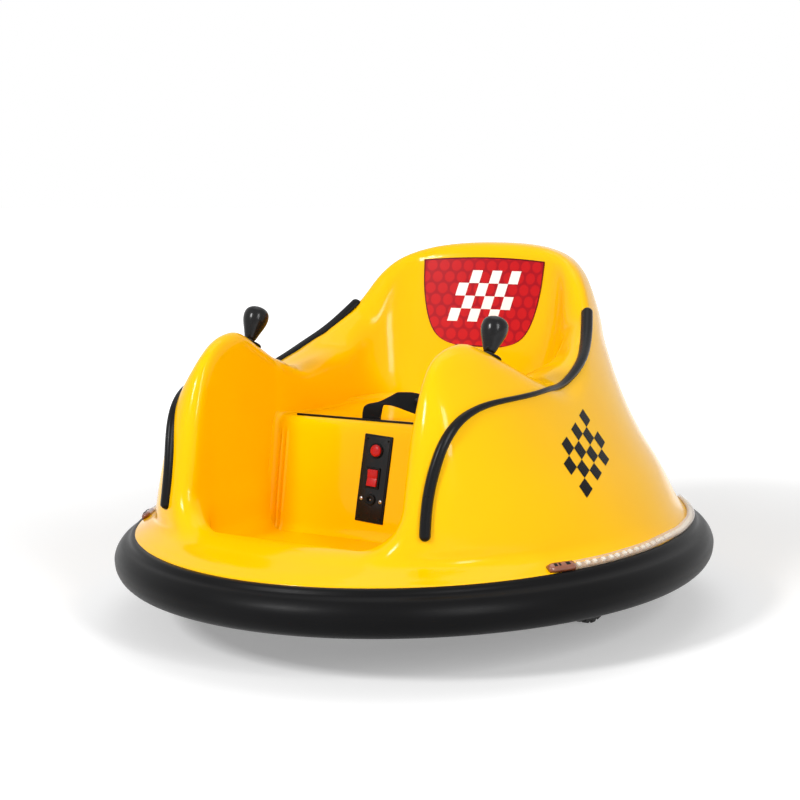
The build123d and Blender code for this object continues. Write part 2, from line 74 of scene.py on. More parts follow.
# meshes
def newPiece(name, points, faces, material, body, slot=None, stands=(), smooth=True):
    # Mesh piece from whole arrays of points and faces, riding on a CAD body.
    mesh = bpy.data.meshes.new(name)
    mesh.from_pydata(np.asarray(points, float).reshape(-1, 3).tolist(), [],
                     [list(map(int, f)) for f in faces])
    mesh.polygons.foreach_set("use_smooth", np.full(len(mesh.polygons), smooth))
    mesh.validate()
    mesh.update()
    obj = bpy.data.objects.new(name, mesh)
    bpy.context.scene.collection.objects.link(obj)
    obj.data.materials.append(material)
    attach(obj, body)
    if stands:
        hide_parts(*stands)
    return obj


def gridFaces(rows, columns, loopRows=False, loopColumns=False, start=0):
    # Quads between neighbours of a grid of rows and columns, closed round in either direction.
    index = start + np.arange(rows * columns).reshape(rows, columns)
    a = index if loopRows else index[:-1]
    b = np.roll(index, -1, 0) if loopRows else index[1:]
    if loopColumns:
        a2, b2 = np.roll(a, -1, 1), np.roll(b, -1, 1)
    else:
        a, a2, b, b2 = a[:, :-1], a[:, 1:], b[:, :-1], b[:, 1:]
    return np.stack([a, a2, b2, b], -1).reshape(-1, 4)


def smoothTable(table, at):
    # Monotone cubic through the rows of a table, first column the height or distance that at is measured in.
    t = np.asarray(table, float)
    x, y = t[:, 0], t[:, 1:]
    h = np.diff(x)
    d = np.diff(y, axis=0) / h[:, None]
    w1, w2 = (2 * h[1:] + h[:-1])[:, None], (h[1:] + 2 * h[:-1])[:, None]
    same = d[1:] * d[:-1] > 0
    safe1, safe2 = np.where(same, d[:-1], 1.0), np.where(same, d[1:], 1.0)
    m = np.empty_like(y)
    m[1:-1] = np.where(same, (w1 + w2) / (w1 / safe1 + w2 / safe2), 0.0)
    m[0], m[-1] = d[0], d[-1]
    i = np.clip(np.searchsorted(x, at) - 1, 0, len(x) - 2)
    s = np.clip((at - x[i]) / h[i], 0, 1)[:, None]
    k = h[i][:, None]
    return ((1 + 2 * s) * (1 - s) ** 2 * y[i] + s * (1 - s) ** 2 * k * m[i]
            + s * s * (3 - 2 * s) * y[i + 1] + s * s * (s - 1) * k * m[i + 1])


def through(points, count):
    # Count points on a smooth line through the given ones, evenly spaced along their chords.
    p = np.asarray(points, float)
    s = np.r_[0, np.cumsum(np.linalg.norm(np.diff(p, axis=0), axis=1))]
    return smoothTable(np.c_[s, p], np.linspace(0, s[-1], count))


def unit(v):
    return v / np.maximum(np.linalg.norm(v, axis=-1, keepdims=True), 1e-12)


# materials
def addNode(tree, kind, values=(), links=(), **settings):
    # Shader node with its settings, the constant values of its inputs and what they are linked to.
    node = tree.nodes.new("ShaderNode" + kind)
    for key, value in settings.items():
        setattr(node, key, value)
    for key, value in dict(values).items():
        node.inputs[key].default_value = value
    for key, source in dict(links).items():
        tree.links.new(source, node.inputs[key])
    return node


def plainMaterial(name, colour, rough, **sockets):
    material = bpy.data.materials.new(name)
    material.use_nodes = True
    shader = material.node_tree.nodes["Principled BSDF"]
    shader.inputs["Base Color"].default_value = (*colour, 1.0)
    shader.inputs["Roughness"].default_value = rough
    for key, value in sockets.items():
        shader.inputs[key.replace("_", " ")].default_value = value
    return material, shader


def addNoise(tree, scale, detail):
    place = addNode(tree, "TexCoord")
    return addNode(tree, "TexNoise", {"Scale": scale, "Detail": detail}, {"Vector": place.outputs["Object"]})


def addBump(tree, shader, source, strength, distance):
    bump = addNode(tree, "Bump", {"Strength": strength, "Distance": distance}, {"Height": source})
    tree.links.new(bump.outputs["Normal"], shader.inputs["Normal"])


def addRamp(tree, source, places, colours):
    # Colour that runs between two as the source does between two places.
    ramp = addNode(tree, "ValToRGB", links={"Fac": source})
    for element, place, colour in zip(ramp.color_ramp.elements, places, colours):
        element.position, element.color = place, (*colour, 1.0)
    return ramp.outputs["Color"]


# The range in which nearly all of a noise's values lie
noiseRange = (0.3, 0.7)
finishDrift = dict(scale=9.0, detail=2.0, grainDetail=4.0, bump=0.0006)


def finishMaterial(name, low, high, rough, grain, grainDepth, **sockets):
    # Moulded finish: two near colours drift over the surface, and a fine grain moves gloss and bump.
    material, shader = plainMaterial(name, low, rough[0], **sockets)
    tree = material.node_tree
    drift = addNoise(tree, finishDrift["scale"], finishDrift["detail"])
    tree.links.new(addRamp(tree, drift.outputs["Fac"], noiseRange, (low, high)), shader.inputs["Base Color"])
    fine = addNoise(tree, grain, finishDrift["grainDetail"])
    span = addNode(tree, "MapRange", {"From Min": noiseRange[0], "From Max": noiseRange[1],
                                      "To Min": rough[0], "To Max": rough[1]}, {"Value": fine.outputs["Fac"]})
    tree.links.new(span.outputs["Result"], shader.inputs["Roughness"])
    addBump(tree, shader, fine.outputs["Fac"], grainDepth, finishDrift["bump"])
    return material


yellow = finishMaterial("glossyYellow", (1.0, 0.520, 0.0), (1.0, 0.545, 0.0), (0.13, 0.17), 420.0, 0.03,
                        Coat_Weight=0.12, Coat_Roughness=0.04, Specular_IOR_Level=0.08)
ringRubber = finishMaterial("ringRubber", (0.003, 0.003, 0.0033), (0.005, 0.005, 0.0054), (0.34, 0.42),
                            900.0, 0.10, Specular_IOR_Level=0.08)
trimBlack = finishMaterial("trimBlack", (0.003, 0.003, 0.0035), (0.005, 0.005, 0.0055), (0.26, 0.36), 700.0,
                           0.05, Specular_IOR_Level=0.14)
blackPlastic = finishMaterial("blackPlastic", (0.005, 0.005, 0.0055), (0.009, 0.009, 0.0095), (0.40, 0.52),
                              1200.0, 0.16, Specular_IOR_Level=0.10)
knobBlack = finishMaterial("knobBlack", (0.005, 0.005, 0.0055), (0.008, 0.008, 0.0085), (0.18, 0.26), 500.0,
                           0.03, Specular_IOR_Level=0.22)
greyPlastic = finishMaterial("greyPlastic", (0.20, 0.20, 0.21), (0.25, 0.25, 0.26), (0.42, 0.52), 1000.0,
                             0.18)
redPlastic = finishMaterial("redPlastic", (0.42, 0.010, 0.012), (0.52, 0.014, 0.016), (0.24, 0.34), 900.0,
                            0.08, Specular_IOR_Level=0.20)
steel = finishMaterial("zincSteel", (0.56, 0.56, 0.58), (0.66, 0.66, 0.67), (0.26, 0.40), 600.0, 0.10,
                       Metallic=1.0)
wheelRubber = finishMaterial("wheelRubber", (0.020, 0.020, 0.021), (0.032, 0.031, 0.030), (0.60, 0.75),
                             1100.0, 0.25)
print("materials made")


# the yellow shell
# Columns: height, half width, reach of the side oval to the front, reach to the rear, y of the widest place,
# powers of the front and rear ovals, reach and bow of the front face
shell = dict(
    sections=[
        (0.080, 0.3094, 0.3494, 0.3494, 0.000, 2.00, 2.00, 0.350, 1.83),
        (0.100, 0.3094, 0.3494, 0.3494, 0.000, 2.00, 2.00, 0.350, 1.83),
        (0.106, 0.2990, 0.3410, 0.3440, 0.000, 2.00, 2.00, 0.338, 1.80),
        (0.116, 0.2900, 0.3250, 0.3360, 0.000, 1.95, 2.00, 0.314, 1.60),
        (0.130, 0.2815, 0.3200, 0.3285, 0.000, 2.05, 2.02, 0.296, 1.10),
        (0.155, 0.2670, 0.3140, 0.3170, 0.000, 2.21, 2.05, 0.281, 0.70),
        (0.195, 0.2405, 0.3085, 0.3005, -0.010, 2.44, 2.10, 0.268, 0.55),
        (0.235, 0.2185, 0.3050, 0.2895, -0.020, 2.58, 2.15, 0.258, 0.50),
        (0.265, 0.2030, 0.2965, 0.2900, -0.030, 2.62, 2.20, 0.249, 0.50),
        (0.292, 0.1878, 0.2820, 0.2925, -0.030, 2.65, 2.25, 0.2415, 0.50),
        (0.318, 0.1752, 0.2610, 0.2915, -0.010, 2.74, 2.30, 0.2320, 0.50),
        (0.350, 0.1578, 0.2330, 0.2795, 0.030, 2.81, 2.35, 0.2140, 0.50),
        (0.420, 0.1380, 0.1500, 0.2200, 0.045, 2.40, 2.40, 0.150, 0.50),
    ],
    rim=[(-0.40, 0.3180), (-0.232, 0.3334), (-0.162, 0.3266), (-0.12, 0.3059), (-0.077, 0.2836),
         (-0.037, 0.2708), (0.008, 0.2839), (0.048, 0.3130), (0.088, 0.3522), (0.128, 0.3897),
         (0.163, 0.4135), (0.198, 0.4190), (0.238, 0.4175), (0.40, 0.4170)],
    archTop=0.4163, archHalf=0.1931, archPower=2.14, archBase=0.30,
    tubHalf=0.127, tubFloor=0.096, backLow=(0.134, 0.22), backHigh=(0.170, 0.42), backBow=1.1,
    flare=0.011, flareHeights=(0.23, 0.33), flareStart=(0.0, 0.07),
    wingShift=1.0, wingEdge=0.19, wingInner=0.11, wingStart=(-0.03, 0.07), wingEnd=(0.10, 0.155),
    sill=0.124, sillY=-0.262, mouthCorner=0.042, planCorner=0.052,
    creaseBlend=0.014, rimBlend=0.026, archBlend=0.03, lipBlend=(0.024, 0.012), lipChange=(0.0, 0.09),
    floorBlend=0.02, mouthBlend=0.012,
    sideSteep=0.8, aheadSteep=0.95, mouthTall=0.4, mouthEnd=-0.10, rimStep=0.002,
    wall=0.004, columns=150, outerRows=64, innerRows=52, floorRows=10, rounds=20, settling=(2, 6),
    turnShare=0.35, footShare=0.9, footSide=0.11, footEnds=(-0.245, 0.118), footMiddle=-0.06,
    closing=(1.35, 1.25),
)


def softMax(a, b, k):
    # The larger of two distances, rounded over a width of about k where they cross.
    h = np.maximum(k - np.abs(a - b), 0) / k
    return np.maximum(a, b) + h * h * k / 4


def ovalOut(u, v, power):
    # Distance outwards from an oval |u|^power + |v|^power = 1, as a share of the way from its middle.
    g = (np.maximum(np.abs(u), 1e-6) ** power + np.maximum(np.abs(v), 1e-6) ** power) ** (1 / power)
    return 1 - 1 / np.maximum(g, 1e-3)


def bellOut(p):
    # Outer bell: at each height a front and a rear oval meet at the widest place, and a bowed front face
    # cuts the front oval off in a crease.
    x, y, z = p.T
    half, front, rear, mid, frontPower, rearPower, face, bow = smoothTable(shell["sections"], z).T
    dy = y - mid
    reach = np.where(dy < 0, front + mid, rear - mid)
    share = ovalOut(x / half, dy / reach, np.where(dy < 0, frontPower, rearPower))
    sides = share * np.hypot(x, dy) * shell["sideSteep"]
    ahead = (bow * x * x - y - face) / np.sqrt(1 + (2 * bow * x) ** 2)
    return softMax(sides, ahead * shell["aheadSteep"], shell["creaseBlend"])


def easeBetween(v, limits):
    # Nothing below the first limit, one above the second, and a smooth ramp between them.
    t = np.clip((v - limits[0]) / (limits[1] - limits[0]), 0, 1)
    return t * t * (3 - 2 * t)


def rimOut(p):
    # Height above the rim's side view, which dips beside the seat and rises to the backrest. On the
    # backrest's wings the side view slides back towards the cockpit, so that their front faces look inwards.
    x, y, z = p.T
    slide = shell["wingShift"] * np.clip(shell["wingEdge"] - np.abs(x), 0,
                                         shell["wingEdge"] - shell["wingInner"])
    y = y - slide * easeBetween(y, shell["wingStart"]) * (1 - easeBetween(y, shell["wingEnd"]))
    step = shell["rimStep"]
    height = smoothTable(shell["rim"], y)[:, 0]
    slope = (smoothTable(shell["rim"], y + step) - smoothTable(shell["rim"], y - step))[:, 0] / (2 * step)
    return (z - height) / np.sqrt(1 + slope * slope)


def archOut(p):
    # Distance out of the backrest's round top, an oval seen from the front.
    x, z = np.abs(p[:, 0]), p[:, 2]
    up = z - shell["archBase"]
    share = ovalOut(x / shell["archHalf"], up / (shell["archTop"] - shell["archBase"]), shell["archPower"])
    return np.where(up > 0, share * np.hypot(x, up), x - shell["archHalf"] + 2 * up)


def roundedBox(x, y, halfX, halfY, corner):
    qx, qy = np.abs(x) - halfX + corner, np.abs(y) - halfY + corner
    return np.minimum(np.maximum(qx, qy), 0) + np.hypot(np.maximum(qx, 0), np.maximum(qy, 0)) - corner


def cockpitOut(p):
    # Distance out of the cockpit: a round-cornered tub whose back leans, and the mouth through the front.
    x, y, z = p.T
    (lowY, lowZ), (highY, highZ) = shell["backLow"], shell["backHigh"]
    back = lowY + (highY - lowY) * (z - lowZ) / (highZ - lowZ) - shell["backBow"] * x * x
    middle, reach = (back + shell["sillY"]) / 2, (back - shell["sillY"]) / 2
    flared = easeBetween(z, shell["flareHeights"]) * easeBetween(y, shell["flareStart"])
    plan = roundedBox(x, y - middle, shell["tubHalf"] + shell["flare"] * flared, reach, shell["planCorner"])
    tub = softMax(plan, shell["tubFloor"] - z, shell["floorBlend"])
    tall = shell["mouthTall"]
    mouth = roundedBox(x, z - shell["sill"] - tall, shell["tubHalf"], tall, shell["mouthCorner"])
    mouth = np.maximum(mouth, y - shell["mouthEnd"])
    return -softMax(-tub, -mouth, shell["mouthBlend"])


def shellOut(p):
    # Distance out of the whole body: inside bell, rim and arch, and outside the cockpit.
    out = softMax(bellOut(p), rimOut(p), shell["rimBlend"])
    out = softMax(out, archOut(p), shell["archBlend"])
    wide, narrow = shell["lipBlend"]
    blend = wide + (narrow - wide) * easeBetween(p[:, 1], shell["lipChange"])
    return softMax(out, -cockpitOut(p), blend)


def slopeOf(f, p, step=2e-4):
    moves = np.eye(3) * step
    return np.stack([(f(p + m) - f(p - m)) / (2 * step) for m in moves], -1)


def settle(f, p, steps=4, limit=0.01, flattest=0.05):
    # Moves points along the slope of f onto the surface where f is nothing. A single move isn't longer than
    # the limit, and a slope counts as no flatter than the given square.
    for _ in range(steps):
        g = slopeOf(f, p)
        move = np.clip(f(p) / np.maximum((g * g).sum(1), flattest), -limit, limit)
        p = p - g * move[:, None]
    return p


def respace(rows, shares):
    # Slides each column's points along it to the given shares of its length.
    length = np.linalg.norm(np.diff(rows, axis=0), axis=2)
    run = np.vstack([np.zeros(rows.shape[1]), np.cumsum(length, 0)])
    run /= run[-1]
    out = [[np.interp(shares, run[:, c], rows[:, c, k]) for k in range(3)] for c in range(rows.shape[1])]
    return np.asarray(out).transpose(2, 0, 1)


# Half of the line along the top of the lip, from the middle of the sill round the arm to the backrest's top
lipLine = [(0, -0.268, 0.124), (0.05, -0.267, 0.124), (0.085, -0.266, 0.126), (0.112, -0.264, 0.136),
           (0.126, -0.261, 0.156), (0.131, -0.255, 0.20), (0.133, -0.24, 0.25), (0.134, -0.215, 0.30),
           (0.136, -0.175, 0.318), (0.147, -0.118, 0.303), (0.160, -0.06, 0.281), (0.165, -0.02, 0.277),
           (0.160, 0.04, 0.30), (0.146, 0.09, 0.336), (0.125, 0.14, 0.372), (0.095, 0.178, 0.396),
           (0.05, 0.20, 0.409), (0, 0.207, 0.412)]


def shellGrid(s):
    # Grid over the body: columns run from the skirt over the lip and down to the footwell's floor. In each
    # round the grid is evened out across and along its columns and settled on the surface.
    n = s["columns"]
    half = through(lipLine, n + 1)
    lip = np.vstack([half, (half * (-1, 1, 1))[::-1][1:-1]])
    own = np.maximum.accumulate(np.arctan2(half[:, 0], -half[:, 1]))
    turn = s["turnShare"] * own + (1 - s["turnShare"]) * np.linspace(0, math.pi, n + 1)
    turn[0], turn[-1] = 0, math.pi
    turn = np.r_[turn, (2 * math.pi - turn)[::-1][1:-1]]
    base = s["sections"][1]
    skirt = np.c_[base[1] * np.sin(turn), -base[2] * np.cos(turn), np.full(len(turn), base[0])]
    foot = np.c_[np.clip(lip[:, 0] * s["footShare"], -s["footSide"], s["footSide"]),
                 np.clip(lip[:, 1], *s["footEnds"]), np.full(len(lip), s["tubFloor"])]
    centre = np.array([0, s["footMiddle"], s["tubFloor"]])
    a, b, c = s["outerRows"], s["innerRows"], s["floorRows"]

    def between(start, end, count):
        return start + (end - start) * np.linspace(0, 1, count + 1)[:, None, None]

    grid = np.vstack([between(skirt, lip, a)[:-1], between(lip, foot, b)[:-1], between(foot, centre, c)[:-1]])
    outShare = 1 - (1 - np.linspace(0, 1, a + 1)) ** s["closing"][0]          # rows close up towards the lip
    inShare = np.linspace(0, 1, b + c) ** s["closing"][1]
    for k in range(s["rounds"]):
        final = k == s["rounds"] - 1
        grid = settle(shellOut, grid.reshape(-1, 3), s["settling"][final]).reshape(grid.shape)
        grid[0] = skirt
        if final:
            break
        even = grid.copy()
        even[1:-1] = (grid[1:-1] * 2 + np.roll(grid, 1, 1)[1:-1] + np.roll(grid, -1, 1)[1:-1]
                      + grid[2:] + grid[:-2]) / 6
        even[-1] = (grid[-1] + np.roll(grid[-1], 1, 0) + np.roll(grid[-1], -1, 0)) / 3
        grid = np.vstack([respace(even[:a + 1], outShare), respace(even[a:], inShare)[1:]])
        grid[0] = skirt
    return grid


grid = shellGrid(shell)
rows, columns = grid.shape[:2]
points = np.vstack([grid.reshape(-1, 3), grid[-1].mean(0)])
last = (rows - 1) * columns + np.arange(columns)
cap = np.stack([last, np.roll(last, -1), np.full(columns, rows * columns)], -1)
carShell = newPiece("carShell", points, [*gridFaces(rows, columns, loopColumns=True), *cap], yellow, "car",
                    "yellow_plastic", ["body_shell"])
wall = carShell.modifiers.new("wall", "SOLIDIFY")
wall.thickness, wall.offset = shell["wall"], -1.0
print("shell made:", len(carShell.data.vertices), "points")


# shared forms
def closedTube(path, sides, ups, outline, shares):
    # Surface along a path: at each point the outline's (across, up) pairs are laid out along the side and up
    # directions and made smaller by that point's share. Both ends close on a middle point.
    path, sides, ups = np.asarray(path), np.asarray(sides), np.asarray(ups)
    outline = np.asarray(outline, float)
    if outline.ndim == 2:
        outline = np.broadcast_to(outline, (len(path), *outline.shape))
    ring = outline * np.asarray(shares)[:, None, None]
    points = path[:, None] + sides[:, None] * ring[..., :1] + ups[:, None] * ring[..., 1:]
    n, m = points.shape[:2]
    faces = [list(q) for q in gridFaces(n, m, loopColumns=True)]
    ends = np.array([points[0].mean(0), points[-1].mean(0)])
    first, last = np.arange(m), (n - 1) * m + np.arange(m)
    faces += [[n * m, b, a] for a, b in zip(first, np.roll(first, -1))]
    faces += [[n * m + 1, a, b] for a, b in zip(last, np.roll(last, -1))]
    return np.vstack([points.reshape(-1, 3), ends]), faces


def turnedForm(profile, count, frameOf):
    # Surface of revolution: profile of (radius, height) pairs turned about the upward axis of a frame given
    # as origin and three directions. Closed at both ends when the radius there is nothing.
    profile = np.asarray(profile, float)
    turn = np.arange(count) * 2 * math.pi / count
    points = np.stack([profile[:, :1] * np.cos(turn), profile[:, :1] * np.sin(turn),
                       np.broadcast_to(profile[:, 1:], (len(profile), count))], -1)
    origin, axes = frameOf
    return (origin + points @ np.asarray(axes)).reshape(-1, 3), gridFaces(len(profile), count,
                                                                          loopColumns=True)


def halfRound(half, high, powers, count):
    # Half oval with the given powers, as (across, up) pairs from one foot over the top to the other.
    turn = np.linspace(0, math.pi, count)
    across, up = np.cos(turn), np.sin(turn)
    return np.stack([half * np.sign(across) * np.abs(across) ** powers[0], high * up ** powers[1]], -1)


def boxForm(size, bevel, frameOf, edgeShares=(0.15, 0.5, 1.0)):
    # Box with rounded edges: a grid on each of six sides, pushed out from a smaller box by the bevel. Near an
    # edge the grid has lines at the given shares of the bevel.
    half = np.asarray(size, float) / 2
    rounded = np.array(edgeShares) * bevel
    points, faces, start = [], [], 0
    for axis in range(3):
        for sign in (-1.0, 1.0):
            a, b = (axis + 1) % 3, (axis + 2) % 3
            edgeA = np.r_[-half[a], -half[a] + rounded, half[a] - rounded[::-1], half[a]]
            edgeB = np.r_[-half[b], -half[b] + rounded, half[b] - rounded[::-1], half[b]]
            ga, gb = np.meshgrid(edgeA, edgeB, indexing="ij")
            q = np.zeros((*ga.shape, 3))
            q[..., a], q[..., b], q[..., axis] = ga, gb, sign * half[axis]
            core = np.clip(q, -(half - bevel), half - bevel)
            q = core + unit(q - core) * bevel
            face = gridFaces(*ga.shape, start=start)
            faces += [list(f) if sign > 0 else list(f)[::-1] for f in face]
            points.append(q.reshape(-1, 3))
            start += ga.size
    origin, axes = frameOf
    return np.asarray(origin) + np.vstack(points) @ np.asarray(axes), faces


def mirrored(points, faces):
    return np.asarray(points) * (-1, 1, 1), [list(f)[::-1] for f in faces]


def newPair(name, parts, material, body, slot=None, node=None):
    # The same piece on both sides of the car; {} in a body's or a node's name takes the side's word.
    for word, own in (("Left", parts), ("Right", mirrored(*parts))):
        side = word.lower()
        newPiece(name + word, *own, material, body.format(side), slot, [node.format(side)] if node else ())


def addOwnCoordinates(piece, own):
    # Flat coordinates of the piece's own, given for each of its points.
    layer = piece.data.uv_layers.new(name="own")
    loops = np.empty(len(piece.data.loops), int)
    piece.data.loops.foreach_get("vertex_index", loops)
    layer.data.foreach_set("uv", own[loops].ravel())


def joined(pieces):
    # Several (points, faces) pairs as one.
    points, faces, start = [], [], 0
    for p, f in pieces:
        points.append(np.asarray(p, float))
        faces += [[int(i) + start for i in q] for q in f]
        start += len(p)
    return np.vstack(points), faces


# rubber bumper ring
# Profile of outward distance from the skirt's oval and height: a bead beside the body, a shallow groove and
# the big bulge, closed inside by the wall of the open channel. At the sides the bead laps on to the body
bumperTyre = dict(
    half=(0.3094, 0.3494), count=260, lap=(-0.0050, 0.0030), lapEnds=(0.003, 0.010),
    outer=[(-0.0110, 0.0990), (-0.0030, 0.1002), (0.0012, 0.1006), (0.0040, 0.0995), (0.0053, 0.0970),
           (0.0062, 0.0948), (0.0078, 0.0938), (0.0110, 0.0925), (0.0155, 0.0880), (0.0190, 0.0820),
           (0.0205, 0.0760), (0.0198, 0.0690), (0.0165, 0.0615), (0.0105, 0.0558), (0.0040, 0.0533),
           (-0.0110, 0.0530)],
    inner=[(-0.0110, 0.0600), (0.0020, 0.0602), (0.0090, 0.0655), (0.0132, 0.0730), (0.0132, 0.0800),
           (0.0090, 0.0875), (0.0020, 0.0920), (-0.0110, 0.0925)],
    across=46,
)


def makeBumper(s):
    profile = np.vstack([through(s["outer"], s["across"]), s["inner"]])
    turn = np.arange(s["count"]) * 2 * math.pi / s["count"]
    a, b = s["half"]
    path = np.c_[a * np.sin(turn), -b * np.cos(turn), np.zeros(len(turn))]
    out = unit(np.c_[np.sin(turn) / a, -np.cos(turn) / b, np.zeros(len(turn))])
    lapping = (1 - easeBetween(profile[:, 0], s["lapEnds"])) * (np.arange(len(profile)) < s["across"])
    shift = (np.sin(turn) ** 2)[:, None, None] * lapping[None, :, None] * np.array(s["lap"])
    offset = profile[None] + shift
    points = path[:, None] + out[:, None] * offset[..., :1] + np.array([0, 0, 1.0]) * offset[..., 1:]
    faces = gridFaces(len(path), len(profile), True, True)
    newPiece("bumperTyre", points, faces, ringRubber, "car", "black_rubber", ["bumper_ring"])


makeBumper(bumperTyre)
print("ring made")

# seat moulding
# The side view runs up the leaning front, over the rounded edge and back to the backrest; near the walls the
# surface rises in a cove of the given radius, and its columns close up.
# Ribs: distance out, half width, height
seatForm = dict(
    profile=[(-0.1290, 0.0950), (-0.1230, 0.0966), (-0.1200, 0.1020), (-0.1175, 0.1180), (-0.1110, 0.1580),
             (-0.1045, 0.1980), (-0.1024, 0.2110), (-0.0995, 0.2185), (-0.0935, 0.2222), (-0.0850, 0.2225),
             (-0.0400, 0.2200), (0.0250, 0.2182), (0.0900, 0.2190), (0.1400, 0.2200)],
    rows=110, columns=240, closing=1.6, cove=0.0070, coveShare=0.98, sink=0.001, wallOut=0.0025, ribTop=0.207,
    topStart=-0.085, topEnd=0.14,
    ribs=[(0.1116, 0.0017, 0.0016), (0.1186, 0.0012, 0.0012)],
    slot=dict(x=(-0.1066, 0.1066), y=-0.0905, z=0.2229, width=0.0013, height=0.0017, steps=24),
)


def makeSeat(s):
    profile = through(s["profile"], s["rows"])
    step = np.gradient(profile, axis=0)
    normal = unit(np.c_[-step[:, 1], step[:, 0]])
    half, corner = shell["tubHalf"] + s["wallOut"], shell["planCorner"]
    edge = np.linspace(-1, 1, s["columns"])
    x = (half + s["sink"]) * np.sign(edge) * (1 - (1 - np.abs(edge)) ** s["closing"])
    over = np.maximum(np.abs(x) - (half - corner), 0)
    back = (shell["backLow"][0] - shell["backBow"] * x * x - corner
            + np.sqrt(np.maximum(corner ** 2 - np.minimum(over, corner) ** 2, 0)) + s["sink"])
    front, run = s["topStart"], profile[:, :1] - s["topStart"]
    y = np.where(run > 0, front + run * (back - front)[None] / (s["topEnd"] - front), profile[:, :1])
    inside = -roundedBox(np.broadcast_to(x, y.shape), y - (back + shell["sillY"])[None] / 2, half,
                         (back - shell["sillY"])[None] / 2 + 0 * y, corner)
    inside = np.minimum(inside, (half - np.abs(x))[None])
    near = np.clip(s["cove"] - inside, 0, s["cove"] * s["coveShare"])
    rise = s["cove"] - np.sqrt(s["cove"] ** 2 - near ** 2)
    for out, wide, high in s["ribs"]:
        rise = rise + high * np.exp(-((np.abs(x) - out) / wide) ** 2) * (profile[:, 1:] < s["ribTop"])
    points = np.stack([np.broadcast_to(x, y.shape), y + normal[:, :1] * rise,
                       profile[:, 1:] + normal[:, 1:] * rise], -1)
    faces = gridFaces(s["rows"], s["columns"])[:, ::-1]
    newPiece("seatMoulding", points, faces, yellow, "car", "yellow_plastic", ["seat_box"])


makeSeat(seatForm)
# The belt's slot along the seat's front edge is a thin black bar: painted shade where the slot opens.
slotShade = seatForm["slot"]
slotShadePath = np.linspace((slotShade["x"][0], slotShade["y"], slotShade["z"]), (slotShade["x"][1], slotShade["y"], slotShade["z"]),
                       slotShade["steps"])
slotShadeSides, slotShadeUps = (np.tile(way, (slotShade["steps"], 1)) for way in ((0, 1.0, 0), (0, 0, 1.0)))
slotShadeOutline = np.array([(-1, -1), (1, -1), (1, 1), (-1, 1)]) * (slotShade["width"], slotShade["height"])
newPiece("seatSeam", *closedTube(slotShadePath, slotShadeSides, slotShadeUps, slotShadeOutline, np.ones(slotShade["steps"])),
         trimBlack, "car", smooth=False)
print("seat made")

# trim stripes
# A flattened half round along a line on the outer skin, with round ends. Columns of the path: x, y, z, width
stripeForm = dict(
    path=[(0.159, -0.262, 0.139, 0.0112), (0.158, -0.257, 0.171, 0.0112), (0.161, -0.248, 0.205, 0.0114),
          (0.165, -0.241, 0.2255, 0.0112), (0.169, -0.230, 0.244, 0.0104), (0.173, -0.218, 0.2525, 0.0092),
          (0.179, -0.200, 0.2605, 0.0074), (0.1855, -0.177, 0.2645, 0.0062), (0.193, -0.145, 0.2655, 0.0056),
          (0.198, -0.095, 0.2660, 0.0056), (0.195, -0.040, 0.2685, 0.0068), (0.190, 0.009, 0.2765, 0.0092),
          (0.181, 0.055, 0.2935, 0.0114), (0.168, 0.091, 0.315, 0.0126), (0.1555, 0.118, 0.337, 0.0126)],
    count=260, across=20, proud=0.0080, share=0.62, sunk=0.0016, powers=(0.85, 0.8), even=12, endLength=0.007,
    endGap=0.001, endSteps=12, endLeast=0.0004, settling=12,
)


def evened(values, reach):
    # Running mean of the values over reach neighbours to each side, with the ends kept.
    ends = np.r_[np.repeat(values[:1], reach, 0), values, np.repeat(values[-1:], reach, 0)]
    total = np.cumsum(np.r_[np.zeros((1, values.shape[1])), ends], 0)
    mean = (total[2 * reach + 1:] - total[:-2 * reach - 1]) / (2 * reach + 1)
    mean[0], mean[-1] = values[0], values[-1]
    return mean


def onSkin(table, count, lift, even=0):
    # Even points through a table of places, settled on the outer skin, with the skin's normal there.
    line = through([row[:3] for row in table], count)
    line = settle(shellOut, line, stripeForm["settling"])
    normal = unit(slopeOf(shellOut, line))
    if even:
        line, normal = evened(line, even), unit(evened(normal, even))
    return line + normal * lift, normal


def makeStripe(s):
    line, normal = onSkin(s["path"], s["count"], 0.0, s["even"])
    run = np.r_[0, np.cumsum(np.linalg.norm(np.diff(line, axis=0), axis=1))]
    closing = s["endLength"] * (1 - np.cos(np.linspace(0, math.pi / 2, s["endSteps"])))
    limit = s["endLength"] + s["endGap"]
    middle = run[(run > limit) & (run < run[-1] - limit)]
    places = np.r_[closing, middle, run[-1] - closing[::-1]]
    line, normal = (np.stack([np.interp(places, run, q[:, k]) for k in range(3)], 1) for q in (line, normal))
    run = places
    along = unit(np.gradient(line, axis=0))
    side = unit(np.cross(normal, along))
    table = np.asarray(s["path"])
    marks = np.r_[0, np.cumsum(np.linalg.norm(np.diff(table[:, :3], axis=0), axis=1))]
    width = np.interp(run, marks * run[-1] / marks[-1], table[:, 3])
    toEnd = np.minimum(run, run[-1] - run)
    shares = np.sqrt(np.clip(1 - np.clip(1 - toEnd / (width / 2), 0, 1) ** 2, s["endLeast"], 1))
    height = np.minimum(s["proud"], width * s["share"])[:, None]
    outline = halfRound(width[:, None] / 2, height, s["powers"], s["across"])
    under = np.stack([width / 2, np.full(len(line), -s["sunk"])], -1)[:, None]
    other = under * (-1, 1)
    outline = np.concatenate([outline, other, under], 1)
    return closedTube(line, side, normal, outline, shares)


newPair("trimStripe", makeStripe(stripeForm), trimBlack, "car", "black_gloss", "trim_stripe_{}")
print("stripes made")

